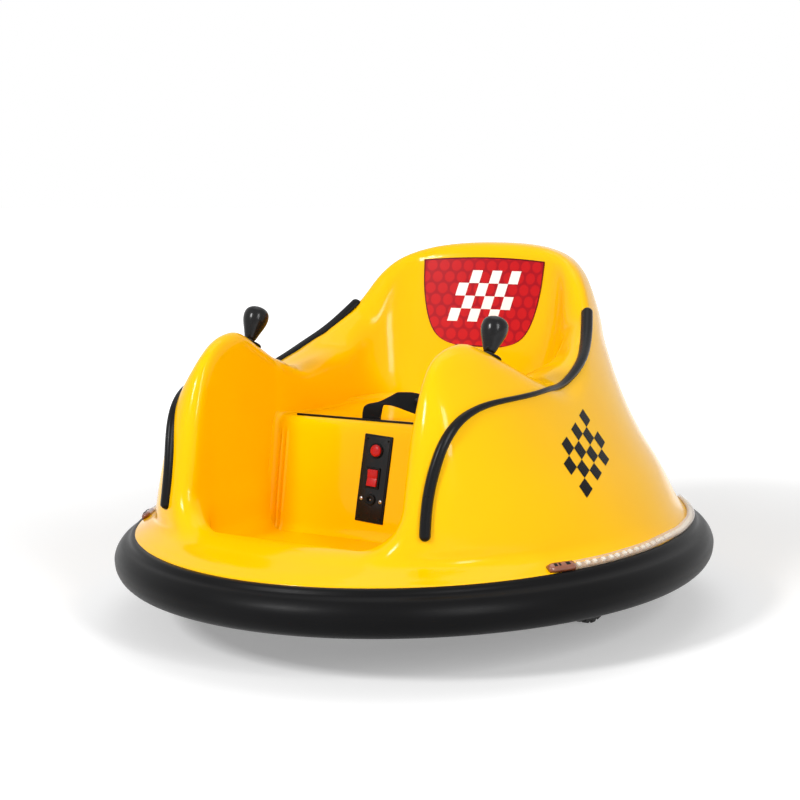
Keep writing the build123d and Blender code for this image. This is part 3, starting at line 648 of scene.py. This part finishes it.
# lamp strips
# A clear sleeve with small lamps lies on the flange beside the ring, with a plug at its front end.
# Marks of the plug: distance along it, width
lampForm = dict(
    path=[(0.2527, -0.1844, 0.1052), (0.2702, -0.1512, 0.1054), (0.2884, -0.0958, 0.1054),
          (0.2984, -0.0302, 0.1054), (0.2994, 0.0302, 0.1056), (0.2904, 0.0958, 0.1056),
          (0.2702, 0.1563, 0.1058), (0.2369, 0.2117, 0.1060)],
    count=170, lift=0.0004, sleeve=(0.0050, 0.0052), powers=(0.7, 0.6), across=12,
    lamps=34, lampSize=(0.0042, 0.0042, 0.0026), lampBevel=0.0004, lampLift=0.0021, lampEnds=(0.006, 0.004),
    tape=[(-0.0030, 0.0002), (0.0030, 0.0002), (0.0030, 0.0010), (-0.0030, 0.0010)],
    plugLength=0.030, plugGrowth=1.12, plugEnd=(0.5, 3),
    marks=[(0.0070, 0.0016), (0.0120, 0.0010), (0.0210, 0.0022)],
    markSize=(2.2, 0.0038, 0.0007), markBevel=0.0003,
)


def makeLampStrip(s):
    line, normal = onSkin(s["path"], s["count"], s["lift"])
    along = unit(np.gradient(line, axis=0))
    side = unit(np.cross(normal, along))
    outline = halfRound(*s["sleeve"], s["powers"], s["across"])
    run = np.r_[0, np.cumsum(np.linalg.norm(np.diff(line, axis=0), axis=1))]
    k = int((run <= s["plugLength"]).sum())

    def boxAt(distance, lift, size, bevel):
        i = int(np.searchsorted(run, distance))
        return boxForm(size, bevel, (line[i] + normal[i] * lift, (along[i], side[i], normal[i])))

    sleeve = closedTube(line[k - 1:], side[k - 1:], normal[k - 1:], outline, np.ones(len(line) - k + 1))
    plugShares = np.sqrt(np.clip(np.linspace(*s["plugEnd"], k), 0, 1))
    plug = closedTube(line[:k], side[:k], normal[:k], outline * s["plugGrowth"], plugShares)
    first, last = s["lampEnds"]
    places = np.linspace(s["plugLength"] + first, run[-1] - last, s["lamps"])
    lamps = joined([boxAt(m, s["lampLift"], s["lampSize"], s["lampBevel"]) for m in places])
    tape = closedTube(line[k:], side[k:], normal[k:], s["tape"], np.ones(len(line) - k))
    high, (longer, wide, thick) = s["sleeve"][1] * s["plugGrowth"], s["markSize"]
    marks = joined([boxAt(m, high, (w * longer, wide, thick), s["markBevel"]) for m, w in s["marks"]])
    return sleeve, plug, lamps, tape, marks


def clearMaterial(name, colour, rough, share):
    # Clear cover: mostly see-through, with a gloss that shows its form.
    material, shader = plainMaterial(name, colour, rough)
    tree = material.node_tree
    facing = addNode(tree, "LayerWeight", {"Blend": share})
    clear = addNode(tree, "BsdfTransparent")
    mix = addNode(tree, "MixShader", links={"Fac": facing.outputs["Facing"], 1: clear.outputs["BSDF"],
                                            2: shader.outputs["BSDF"]})
    tree.links.new(mix.outputs["Shader"], tree.nodes["Material Output"].inputs["Surface"])
    return material


sleeveClear = clearMaterial("clearSleeve", (0.72, 0.62, 0.52), 0.12, 0.30)
lampWhite = finishMaterial("lampWhite", (0.90, 0.86, 0.74), (0.98, 0.95, 0.86), (0.20, 0.30), 500.0, 0.05)
tapePale = finishMaterial("lampTape", (0.40, 0.27, 0.17), (0.52, 0.36, 0.24), (0.35, 0.45), 700.0, 0.08)
plugBrown = finishMaterial("plugBrown", (0.16, 0.035, 0.016), (0.30, 0.085, 0.030), (0.16, 0.24), 400.0, 0.06,
                           Coat_Weight=0.6)
lampParts = makeLampStrip(lampForm)
for word, parts in (("Left", lampParts), ("Right", [mirrored(*q) for q in lampParts])):
    newPiece(f"lampSleeve{word}", *parts[0], sleeveClear, "car", "clear_plastic",
             [f"lamp_strip_{word.lower()}"])
    newPiece(f"lampPlug{word}", *parts[1], plugBrown, "car")
    for name, form, material in zip(("lampRow", "lampTape", "plugMarks"), parts[2:],
                                    (lampWhite, tapePale, blackPlastic)):
        newPiece(name + word, *form, material, "car", smooth=False)
print("lamp strips made")

# shield on the backrest
# Its outline is given as half widths at shares of the height; the top edge bows up in the middle. The ground
# lies on the backrest's face, with its own coordinates for the dots
shieldForm = dict(
    bottom=0.2845, top=0.3885, bow=0.0035, lowBow=0.0008,
    widths=[(0.0, 0.0300), (0.03, 0.0430), (0.08, 0.0545), (0.16, 0.0635), (0.28, 0.0705), (0.50, 0.0775),
            (0.75, 0.0815), (1.0, 0.0830)],
    rows=60, columns=80, lift=0.0004, edge=0.0016, gloss=dict(rough=0.34, level=0.10),
    dots=0.016, rowGap=1.732, dotEdge=(0.36, 0.46),
    chequer=dict(columns=6, rows=4, cell=0.0135, slant=0.26, centre=(0.002, 0.345), tall=1.15, lift=0.0007),
)


def onBackrest(x, z, lift):
    # Point of the backrest's face at x and z, lifted off it towards the rider.
    (lowY, lowZ), (highY, highZ) = shell["backLow"], shell["backHigh"]
    half, corner = shell["tubHalf"], shell["planCorner"]
    slope = (highY - lowY) / (highZ - lowZ)
    over = np.clip(np.abs(x) - (half - corner), 0, corner)
    y = lowY + slope * (z - lowZ) - shell["backBow"] * x * x - corner + np.sqrt(corner ** 2 - over ** 2)
    normal = unit(np.stack([2 * shell["backBow"] * x, np.ones_like(x), np.full_like(x, -slope)], -1))
    return np.stack([x, y, z], -1) - normal * lift


def makeShield(s):
    t = np.linspace(0, 1, s["rows"])[:, None]
    half = smoothTable(s["widths"], t[:, 0])
    across = np.linspace(-1, 1, s["columns"])
    tall = s["top"] - s["bottom"]
    z = s["bottom"] + tall * t + (1 - across ** 2) * (s["bow"] * t - s["lowBow"] * (1 - t))
    x = half * across
    piece = newPiece("shieldSticker", onBackrest(x, z, s["lift"]), gridFaces(s["rows"], s["columns"]),
                     shieldRed, "car")
    addOwnCoordinates(piece, np.c_[x.ravel(), z.ravel() - s["bottom"]])
    rim = piece.data.attributes.new("rimDistance", "FLOAT", "POINT")
    toEdge = np.minimum(half * (1 - np.abs(across)), np.minimum(t, 1 - t) * tall)
    rim.data.foreach_set("value", toEdge.ravel())


def chequerCells(count, cell, slant, tall):
    # Corners of every second cell of a slanted chequer, in its own plane, about its middle.
    columns, rows = count
    cells = []
    for i in range(columns):
        for j in range(rows):
            if (i + j) % 2:
                continue
            corner = np.array([(i, j), (i + 1, j), (i + 1, j + 1), (i, j + 1)], float)
            corner -= (columns / 2, rows / 2)
            corner[:, 1] *= tall
            corner[:, 0] += corner[:, 1] * slant
            cells.append(corner * cell)
    return cells


def cellPatch(corners, place, steps=5):
    # A cell as a small grid, each point put in its place by the given function of the plane's coordinates.
    g = np.linspace(0, 1, steps)
    a, b = np.meshgrid(g, g, indexing="ij")
    shares = ((1 - a) * (1 - b), a * (1 - b), a * b, (1 - a) * b)
    flat = sum(w[..., None] * corner for w, corner in zip(shares, corners))
    return place(flat.reshape(-1, 2)), [list(f) for f in gridFaces(steps, steps)]


def dottedRed(name, s, ground, dot, edge):
    # Red ground with round dots in staggered rows and a darker rim, drawn on the piece's own coordinates: two
    # sets of cells, half a cell apart, give the distance from the cell's middle, and the nearer one counts.
    material, shader = plainMaterial(name, ground, s["gloss"]["rough"],
                                     Specular_IOR_Level=s["gloss"]["level"])
    tree = material.node_tree
    uv = addNode(tree, "UVMap", uv_map="own").outputs["UV"]
    distances = []
    for shift in (0.0, 0.5):
        cells = addNode(tree, "Mapping", {"Scale": (1 / s["dots"], 1 / s["dots"] / s["rowGap"], 1.0),
                                          "Location": (shift, shift, 0.0)}, {"Vector": uv})
        place = addNode(tree, "VectorMath", links={0: cells.outputs["Vector"]}, operation="FRACTION")
        place = addNode(tree, "VectorMath", {1: (0.5, 0.5, 0.0)}, {0: place.outputs["Vector"]},
                        operation="SUBTRACT")
        place = addNode(tree, "VectorMath", {1: (1.0, s["rowGap"], 0.0)}, {0: place.outputs["Vector"]},
                        operation="MULTIPLY")
        distances.append(addNode(tree, "VectorMath", links={0: place.outputs["Vector"]}, operation="LENGTH"))
    nearest = addNode(tree, "Math", links={k: d.outputs["Value"] for k, d in enumerate(distances)},
                      operation="MINIMUM")
    inside = addRamp(tree, nearest.outputs["Value"], s["dotEdge"], (dot, ground))
    toRim = addNode(tree, "Attribute", attribute_name="rimDistance")
    atRim = addNode(tree, "Math", {1: s["edge"]}, {0: toRim.outputs["Fac"]}, operation="LESS_THAN")
    blend = addNode(tree, "Mix", {7: (*edge, 1.0)}, {0: atRim.outputs["Value"], 6: inside}, data_type="RGBA")
    tree.links.new(blend.outputs[2], shader.inputs["Base Color"])
    return material


shieldRed = dottedRed("shieldRed", shieldForm, (0.36, 0.006, 0.014), (0.52, 0.010, 0.014),
                      (0.12, 0.003, 0.005))
printWhite = finishMaterial("printWhite", (0.86, 0.86, 0.86), (0.92, 0.92, 0.92), (0.26, 0.34), 800.0, 0.02)
printBlack = finishMaterial("printBlack", (0.002, 0.002, 0.002), (0.004, 0.004, 0.004), (0.24, 0.32), 800.0,
                            0.02, Specular_IOR_Level=0.08)
makeShield(shieldForm)
flag = shieldForm["chequer"]
flagCells = chequerCells((flag["columns"], flag["rows"]), flag["cell"], flag["slant"], flag["tall"])


def onShield(flat):
    return onBackrest(flag["centre"][0] + flat[:, 0], flag["centre"][1] + flat[:, 1], flag["lift"])


newPiece("shieldChequer", *joined([cellPatch(c, onShield) for c in flagCells]), printWhite, "car")
print("shield made")

# side marks
# A slanted black chequer on each side of the body, projected along x onto the outer skin
sideMark = dict(columns=6, rows=4, cell=0.0152, slant=-0.28, tall=1.15, centre=(-0.058, 0.205), rise=0.42,
                startOut=0.24, settling=10, lift=0.0003)


def makeSideMark(s):
    cells = chequerCells((s["columns"], s["rows"]), s["cell"], s["slant"], s["tall"])

    def onSide(flat):
        y = s["centre"][0] + flat[:, 0]
        z = s["centre"][1] + flat[:, 1] + s["rise"] * flat[:, 0]
        skin = settle(shellOut, np.c_[np.full(len(y), s["startOut"]), y, z], s["settling"])
        return skin + unit(slopeOf(shellOut, skin)) * s["lift"]

    return joined([cellPatch(c, onSide) for c in cells])


newPair("sideMark", makeSideMark(sideMark), printBlack, "car")
print("side marks made")

# steering levers
# The knob is a pear turned about the lever's axis, over a flush rubber boot; both as (radius, height) pairs
leverForm = dict(
    place=(0.152, -0.119, 0.304), lean=27.0,
    knob=[(0.0, 0.0042), (0.0046, 0.0042), (0.0056, 0.0048), (0.0068, 0.0070), (0.0082, 0.0108),
          (0.0101, 0.0160), (0.0123, 0.0218), (0.0138, 0.0272), (0.0143, 0.0318), (0.0137, 0.0365),
          (0.0114, 0.0403), (0.0072, 0.0428), (0.0030, 0.0437), (0.0, 0.0438)],
    boot=[(0.0, -0.0006), (0.0088, -0.0006), (0.0094, 0.0002), (0.0102, 0.0007), (0.0116, 0.0009),
          (0.0130, 0.0007), (0.0140, 0.0002), (0.0144, -0.0008), (0.0140, -0.0020), (0.0, -0.0024)],
    knobSteps=70, bootSteps=60, around=64,
)


def leverAxes(side):
    lean = math.radians(leverForm["lean"])
    x, y, z = leverForm["place"]
    up, across = np.array([0, math.sin(lean), math.cos(lean)]), np.array([1.0, 0, 0])
    return np.array([side * x, y, z]), np.array([across, np.cross(up, across), up])


def smoothProfile(points, count):
    # Rounded profile: the given corners are joined by a smooth line.
    return through([(r, z, 0) for r, z in points], count)[:, :2]


for side, word in ((1, "left"), (-1, "right")):
    placed = leverAxes(side)
    knob = turnedForm(smoothProfile(leverForm["knob"], leverForm["knobSteps"]), leverForm["around"], placed)
    newPiece(f"leverKnob{word.title()}", *knob, knobBlack, f"steering_lever_{word}", "black_gloss",
             [f"lever_knob_{word}"])
    boot = turnedForm(smoothProfile(leverForm["boot"], leverForm["bootSteps"]), leverForm["around"], placed)
    newPiece(f"leverBoot{word.title()}", *boot, blackPlastic, "car", "black_plastic",
             [f"lever_housing_{word}"])
print("levers made")

# controls on the seat's front
# The plate stands turned a little about its socket, its top to the left
controls = dict(
    face=dict(x=0.006, y=-0.109355, z=0.162, lean=9.1623, turn=3.3),
    plate=(0.036, 0.096, 0.0026), plateBevel=0.0011, raised=(0.0315, 0.0915, 0.0007), raisedBevel=0.0004,
    button=dict(v=0.031, around=56,
                cap=[(0.0, 0.0042), (0.0036, 0.0040), (0.0056, 0.0035), (0.0066, 0.0024), (0.0066, -0.0004),
                     (0.0, -0.0004)],
                bezel=[(0.0068, -0.0005), (0.0068, 0.0014), (0.0074, 0.0020), (0.0080, 0.0018),
                       (0.0086, 0.0008), (0.0086, -0.0005)]),
    rocker=dict(v=0.001, half=(0.0125, 0.0096, 0.0038), apart=0.0045, lift=0.0016, bevel=0.0009, tip=7.0,
                bezel=(0.0165, 0.0230), bars=(0.0022, 0.0024, 0.0022), barLift=0.0007, barBevel=0.0006),
    socket=dict(v=-0.023, around=48, pinAround=20, floorAround=32,
                ring=[(0.0030, -0.0020), (0.0030, 0.0016), (0.0036, 0.0022), (0.0054, 0.0022),
                      (0.0062, 0.0014), (0.0062, -0.0004), (0.0052, -0.0020)],
                pin=[(0.0, 0.0012), (0.0007, 0.0010), (0.0009, 0.0002), (0.0009, -0.0020), (0.0, -0.0020)],
                floor=[(0.0, -0.0012), (0.0032, -0.0012), (0.0032, -0.0019), (0.0, -0.0019)]),
    screws=[(-0.0122, -0.0228), (0.0122, -0.0236), (-0.0135, 0.0430), (0.0135, 0.0430), (-0.0135, -0.0430),
            (0.0135, -0.0430)],
    screw=dict(radii=(0.0021, 0.0014), around=28, high=0.0011, foot=-0.0003, cross=(1.2, 0.0005, 0.0004),
               bevel=0.00012, dome=[(0.5, 0.0010), (0.85, 0.0006), (1.0, 0.0001)]),
)


def seatAxes(u, v, lift):
    # Frame on the seat's leaning front: u to the left, v up along the slope, lift out of it.
    f = controls["face"]
    lean = math.radians(f["lean"])
    out = np.array([0, -math.cos(lean), math.sin(lean)])
    up = np.array([0, math.sin(lean), math.cos(lean)])
    middle = np.array([f["x"], f["y"], f["z"]]) + up * controls["socket"]["v"]
    turn = math.radians(f["turn"])
    level = np.array([1.0, 0, 0])
    across, up = level * math.cos(turn) - up * math.sin(turn), up * math.cos(turn) + level * math.sin(turn)
    return middle + across * u + up * (v - controls["socket"]["v"]) + out * lift, np.array([across, up, out])


def makeScrew(s, place, radius, material, name):
    # Pan-head screw with a cross recess: low dome of revolution, and on its top two dark bars that paint the
    # recess's shade.
    origin, axes = place
    dome = [(0.0, s["high"]), *((radius * r, z) for r, z in s["dome"]), (radius, s["foot"]), (0.0, s["foot"])]
    newPiece(name, *turnedForm(dome, s["around"], place), material, "car")
    # The cross recess is two black bars on the top: painted shade.
    share, wide, deep = s["cross"]
    onTop = (origin + axes[2] * s["high"], axes)
    bars = [boxForm(size, s["bevel"], onTop) for size in ((radius * share, wide, deep),
                                                          (wide, radius * share, deep))]
    newPiece(name + "Cross", *joined(bars), trimBlack, "car", smooth=False)


def makeRing(name, profile, around, place, *looks):
    # Ring turned about the face's outward axis, its profile closed in itself.
    points, _ = turnedForm(profile, around, place)
    newPiece(name, points, gridFaces(len(profile), around, True, True), blackPlastic, "car", *looks)


width, height, thick = controls["plate"]
raisedWide, raisedTall, raisedHigh = controls["raised"]
top = thick + raisedHigh
newPiece("controlPlate", *boxForm((width, height, thick), controls["plateBevel"], seatAxes(0, 0, thick / 2)),
         blackPlastic, "car", "black_plastic", ["control_plate"])
newPiece("controlField", *boxForm((raisedWide, raisedTall, raisedHigh * 2), controls["raisedBevel"],
                                  seatAxes(0, 0, thick)), knobBlack, "car")
b = controls["button"]
makeRing("buttonBezel", b["bezel"], b["around"], seatAxes(0, b["v"], top))
newPiece("powerButton", *turnedForm(b["cap"], b["around"], seatAxes(0, b["v"], top)), redPlastic, "car",
         "red_plastic", ["power_button"])
r = controls["rocker"]
(wide, tall), (barWide, barTall, barHigh) = r["bezel"], r["bars"]
frameParts = []
for u, v in ((-1, 0), (1, 0), (0, -1), (0, 1)):
    place = seatAxes(u * (wide - barWide) / 2, r["v"] + v * (tall - barTall) / 2, top + r["barLift"])
    frameParts.append(boxForm((barWide if u else wide, barTall if v else tall, barHigh), r["barBevel"],
                              place))
newPiece("rockerBezel", *joined(frameParts), blackPlastic, "car")
rockerParts = []
for sign in (1, -1):
    origin, (across, up, out) = seatAxes(0, r["v"] + sign * r["apart"], top + r["lift"])
    tip = math.radians(r["tip"] * sign)
    turned = np.array([across, up * math.cos(tip) + out * math.sin(tip),
                       out * math.cos(tip) - up * math.sin(tip)])
    rockerParts.append(boxForm(r["half"], r["bevel"], (origin, turned)))
newPiece("rockerSwitch", *joined(rockerParts), redPlastic, "car", "red_plastic", ["rocker_switch"])
k = controls["socket"]
socketPlace = seatAxes(0, k["v"], top)
makeRing("chargeSocket", k["ring"], k["around"], socketPlace, "black_plastic", ["charge_socket"])
newPiece("socketPin", *turnedForm(k["pin"], k["pinAround"], socketPlace), steel, "car")
newPiece("socketFloor", *turnedForm(k["floor"], k["floorAround"], socketPlace), trimBlack, "car")
for i, (u, v) in enumerate(controls["screws"]):
    makeScrew(controls["screw"], seatAxes(u, v, top), controls["screw"]["radii"][i > 1],
              blackPlastic if i > 1 else steel, f"plateScrew{i + 1}")
print("controls made")

# lap belt
# A woven ribbon stands in a loop on the seat: it leaves the seat near the front edge, bends over and comes
# down by the other wall; a buckle holds its two halves together
# Edges: a point of the ribbon's left edge and one of its right edge, along the loop. The buckle's parts have
# size, bevel, and place along and above the buckle
beltForm = dict(
    edges=[((-0.0217, -0.0880, 0.2140), (0.0026, -0.0880, 0.2140)),
           ((-0.0217, -0.0880, 0.2254), (0.0026, -0.0880, 0.2242)),
           ((-0.0202, -0.0870, 0.2365), (0.0047, -0.0885, 0.2339)),
           ((-0.0160, -0.0840, 0.2402), (0.0058, -0.0862, 0.2405)),
           ((-0.0070, -0.0800, 0.2421), (0.0085, -0.0856, 0.2408)),
           ((0.0062, -0.0740, 0.2489), (0.0150, -0.0850, 0.2400)),
           ((0.0149, -0.0700, 0.2535), (0.0220, -0.0845, 0.2385)),
           ((0.0255, -0.0660, 0.2537), (0.0287, -0.0840, 0.2366)),
           ((0.0450, -0.0600, 0.2500), (0.0450, -0.0830, 0.2320)),
           ((0.0650, -0.0550, 0.2420), (0.0620, -0.0800, 0.2260)),
           ((0.0820, -0.0500, 0.2300), (0.0780, -0.0750, 0.2220)),
           ((0.0920, -0.0480, 0.2150), (0.0880, -0.0730, 0.2150))],
    thick=0.0018, edgePower=8, count=150, across=22,
    buckle=dict(place=(0.0720, -0.0665, 0.2325), slope=-0.42, body=((0.034, 0.030, 0.0100), 0.0034, (0, 0)),
                tongue=((0.018, 0.021, 0.0042), 0.0016, (-0.028, 0)),
                button=((0.012, 0.017, 0.0030), 0.0012, (0.009, 0.0045))),
    threads=dict(size=320.0, turn=0.70, bump=0.6, depth=0.0004, rough=0.8, level=0.12),
)


def makeBelt(s):
    # Ribbon between two edge lines: each point lies between them by its share of the width, and is lifted by
    # half the thickness along the ribbon's own normal.
    left, right = (through([row[k] for row in s["edges"]], s["count"]) for k in (0, 1))
    line = (left + right) / 2
    along = unit(np.gradient(line, axis=0))
    across = right - left
    normal = unit(np.cross(across, along))
    t = np.linspace(-1, 1, s["across"])
    full = np.r_[t, t[::-1][1:-1]]
    lift = s["thick"] / 2 * (1 - full ** s["edgePower"]) * np.r_[np.ones(len(t)), -np.ones(len(t) - 2)]
    form = closedTube(line, across, normal, np.stack([full / 2, lift], -1), np.ones(len(line)))
    piece = newPiece("beltRibbon", *form, webbing, "car", "webbing", ["belt_strap"])
    run = np.r_[0, np.cumsum(np.linalg.norm(np.diff(line, axis=0), axis=1))]
    wide = np.linalg.norm(across, axis=1).mean() / 2
    own = np.stack([np.repeat(run, len(full)), np.tile(full * wide, len(line))], -1)
    addOwnCoordinates(piece, np.vstack([own, [[0, 0], [run[-1], 0]]]))


def wovenMaterial(name, colours, s):
    # Webbing: two crossed waves on the ribbon's own coordinates raise the threads, and make the gaps between
    # them darker: painted shade.
    material, shader = plainMaterial(name, colours[0], s["rough"], Specular_IOR_Level=s["level"])
    tree = material.node_tree
    uv = addNode(tree, "UVMap", uv_map="own").outputs["UV"]
    waves = []
    for turn in (s["turn"], -s["turn"]):
        slanted = addNode(tree, "Mapping", {"Rotation": (0, 0, turn)}, {"Vector": uv})
        waves.append(addNode(tree, "TexWave", {"Scale": s["size"]}, {"Vector": slanted.outputs["Vector"]}))
    cross = addNode(tree, "Math", links={k: w.outputs["Fac"] for k, w in enumerate(waves)},
                    operation="MULTIPLY")
    # Colour darker where the threads sink: painted shade in the gaps.
    tree.links.new(addRamp(tree, cross.outputs["Value"], noiseRange, colours), shader.inputs["Base Color"])
    addBump(tree, shader, cross.outputs["Value"], s["bump"], s["depth"])
    return material


webbing = wovenMaterial("webbing", ((0.002, 0.002, 0.0024), (0.012, 0.012, 0.013)), beltForm["threads"])
makeBelt(beltForm)
q = beltForm["buckle"]
tilt = math.atan(q["slope"])
buckleAxes = np.array([(math.cos(tilt), 0, math.sin(tilt)), (0, 1.0, 0),
                       (-math.sin(tilt), 0, math.cos(tilt))])
for name, part, material in (("beltBuckle", "body", knobBlack), ("buckleTongue", "tongue", blackPlastic),
                             ("buckleButton", "button", redPlastic)):
    size, bevel, (along, above) = q[part]
    place = np.array(q["place"]) + buckleAxes[0] * along + buckleAxes[2] * above
    newPiece(name, *boxForm(size, bevel, (place, buckleAxes)), material, "car")
print("belt made")

# drive tyres
# The tread has blocks between slanted grooves that meet in the middle
tyreForm = dict(
    axle=(0.015, 0.060), inner=0.183, width=0.034, radius=0.060, rim=0.051, around=352, across=30,
    blocks=22, slant=0.42, depth=0.0026, shoulder=0.004,
    grooveEdges=(0.55, 0.80), middleEdges=(-0.10, -0.05), flankEdge=0.0002,
)


def makeTyre(s):
    # Grid round the axle: across the tread the radius falls off at the shoulders by a circle. It is less by
    # the grooves' depth where a wave of the turn, shifted by the distance from the middle, is near its top.
    turn = np.arange(s["around"]) * 2 * math.pi / s["around"]
    t = np.linspace(-1, 1, s["across"])
    x = s["inner"] + s["width"] * (t + 1) / 2
    toEdge = s["width"] / 2 * (1 - np.abs(t))
    inside = np.clip(s["shoulder"] - toEdge, 0, s["shoulder"])
    crown = s["radius"] - (s["shoulder"] - np.sqrt(s["shoulder"] ** 2 - inside ** 2))
    wave = np.cos(s["blocks"] * turn[:, None] + s["slant"] * s["blocks"] * np.abs(t)[None])
    cut = np.maximum(easeBetween(wave, s["grooveEdges"]), easeBetween(-np.abs(t), s["middleEdges"])[None])
    radius = crown[None] - s["depth"] * cut * (toEdge > s["flankEdge"])[None]
    radius = np.c_[np.full(len(turn), s["rim"]), radius, np.full(len(turn), s["rim"])]
    x = np.r_[x[0], x, x[-1]]
    y, z = s["axle"]
    points = np.stack([np.broadcast_to(x, radius.shape), y + radius * np.cos(turn)[:, None],
                       z + radius * np.sin(turn)[:, None]], -1)
    return points.reshape(-1, 3), [list(f)[::-1] for f in gridFaces(*radius.shape, True, True)]


newPair("driveTread", makeTyre(tyreForm), wheelRubber, "drive_wheel_{}", "wheel_rubber", "drive_tyre_{}")
print("drive tyres made")

# looks of the CAD nodes that stay
finishes = dict(
    yellow_plastic=yellow, black_rubber=ringRubber, black_plastic=blackPlastic, black_gloss=knobBlack,
    grey_plastic=greyPlastic, red_plastic=redPlastic, clear_plastic=sleeveClear, steel=steel,
    wheel_rubber=wheelRubber, webbing=webbing,
)
for entry in frame["record"]["materials"]:
    for name in entry.get("nodes", []):
        mesh = nodes[name].data
        mesh.materials.clear()
        mesh.materials.append(finishes[entry["slot"]])

# floor and light
# The floor shows as pale near the car, where it keeps the shadow, and turns white with distance from it
stage = dict(floorSize=60.0, floorColour=(0.80, 0.80, 0.80), floorRough=0.9, worldStrength=0.35,
             glow=(0.30, 1.0), glowReach=(0.55, 1.9), aim=(0, 0, 0.2))


def seenDirectly(tree):
    # One for camera, glossy and transmission rays, and nothing for the light that falls on the car.
    ray = addNode(tree, "LightPath").outputs
    total = ray["Is Camera Ray"]
    for name in ("Is Glossy Ray", "Is Transmission Ray"):
        total = addNode(tree, "Math", links={0: total, 1: ray[name]}, operation="MAXIMUM").outputs["Value"]
    return total


def makeStage(s):
    floorMaterial, shader = plainMaterial("paleFloor", s["floorColour"], s["floorRough"],
                                          Specular_IOR_Level=0.0)
    tree = floorMaterial.node_tree
    place = addNode(tree, "TexCoord")
    far = addNode(tree, "VectorMath", links={0: place.outputs["Object"]}, operation="LENGTH")
    ramp = addNode(tree, "MapRange", {"From Min": s["glowReach"][0], "From Max": s["glowReach"][1],
                                      "To Min": s["glow"][0], "To Max": s["glow"][1]},
                   {"Value": far.outputs["Value"]}, interpolation_type="SMOOTHSTEP")
    glow = addNode(tree, "Math", links={0: ramp.outputs["Result"], 1: seenDirectly(tree)},
                   operation="MULTIPLY")
    shader.inputs["Emission Color"].default_value = (1, 1, 1, 1)
    tree.links.new(glow.outputs["Value"], shader.inputs["Emission Strength"])
    bpy.ops.mesh.primitive_plane_add(size=s["floorSize"], location=(0, 0, 0))
    floor = bpy.context.object
    floor.name = "paleFloor"
    floor.data.materials.append(floorMaterial)
    world = bpy.data.worlds.new("whiteRoom")
    bpy.context.scene.world = world
    world.use_nodes = True
    tree = world.node_tree
    tree.nodes.clear()
    sky, white = (addNode(tree, "Background", {"Color": (1, 1, 1, 1), "Strength": strength})
                  for strength in (s["worldStrength"], 1.0))
    mix = addNode(tree, "MixShader", links={"Fac": seenDirectly(tree), 1: sky.outputs["Background"],
                                            2: white.outputs["Background"]})
    addNode(tree, "OutputWorld", links={"Surface": mix.outputs["Shader"]})


def addLamp(name, place, size, power):
    data = bpy.data.lights.new(name, "AREA")
    data.shape = "RECTANGLE"
    data.size, data.size_y = size
    data.energy = power
    lamp = bpy.data.objects.new(name, data)
    bpy.context.scene.collection.objects.link(lamp)
    lamp.location = place
    lamp.rotation_mode = "QUATERNION"
    lamp.rotation_quaternion = (Vector(stage["aim"]) - Vector(place)).to_track_quat("-Z", "Y")


makeStage(stage)
addLamp("keyBox", (-0.7, -2.9, 2.0), (0.6, 0.6), 66.0)
addLamp("sideBox", (2.6, -1.5, 1.7), (0.6, 1.4), 46.0)
addLamp("topBox", (0, 0.4, 3.2), (2.2, 2.2), 18.0)

scene = bpy.context.scene
scene.view_settings.view_transform = "Standard"
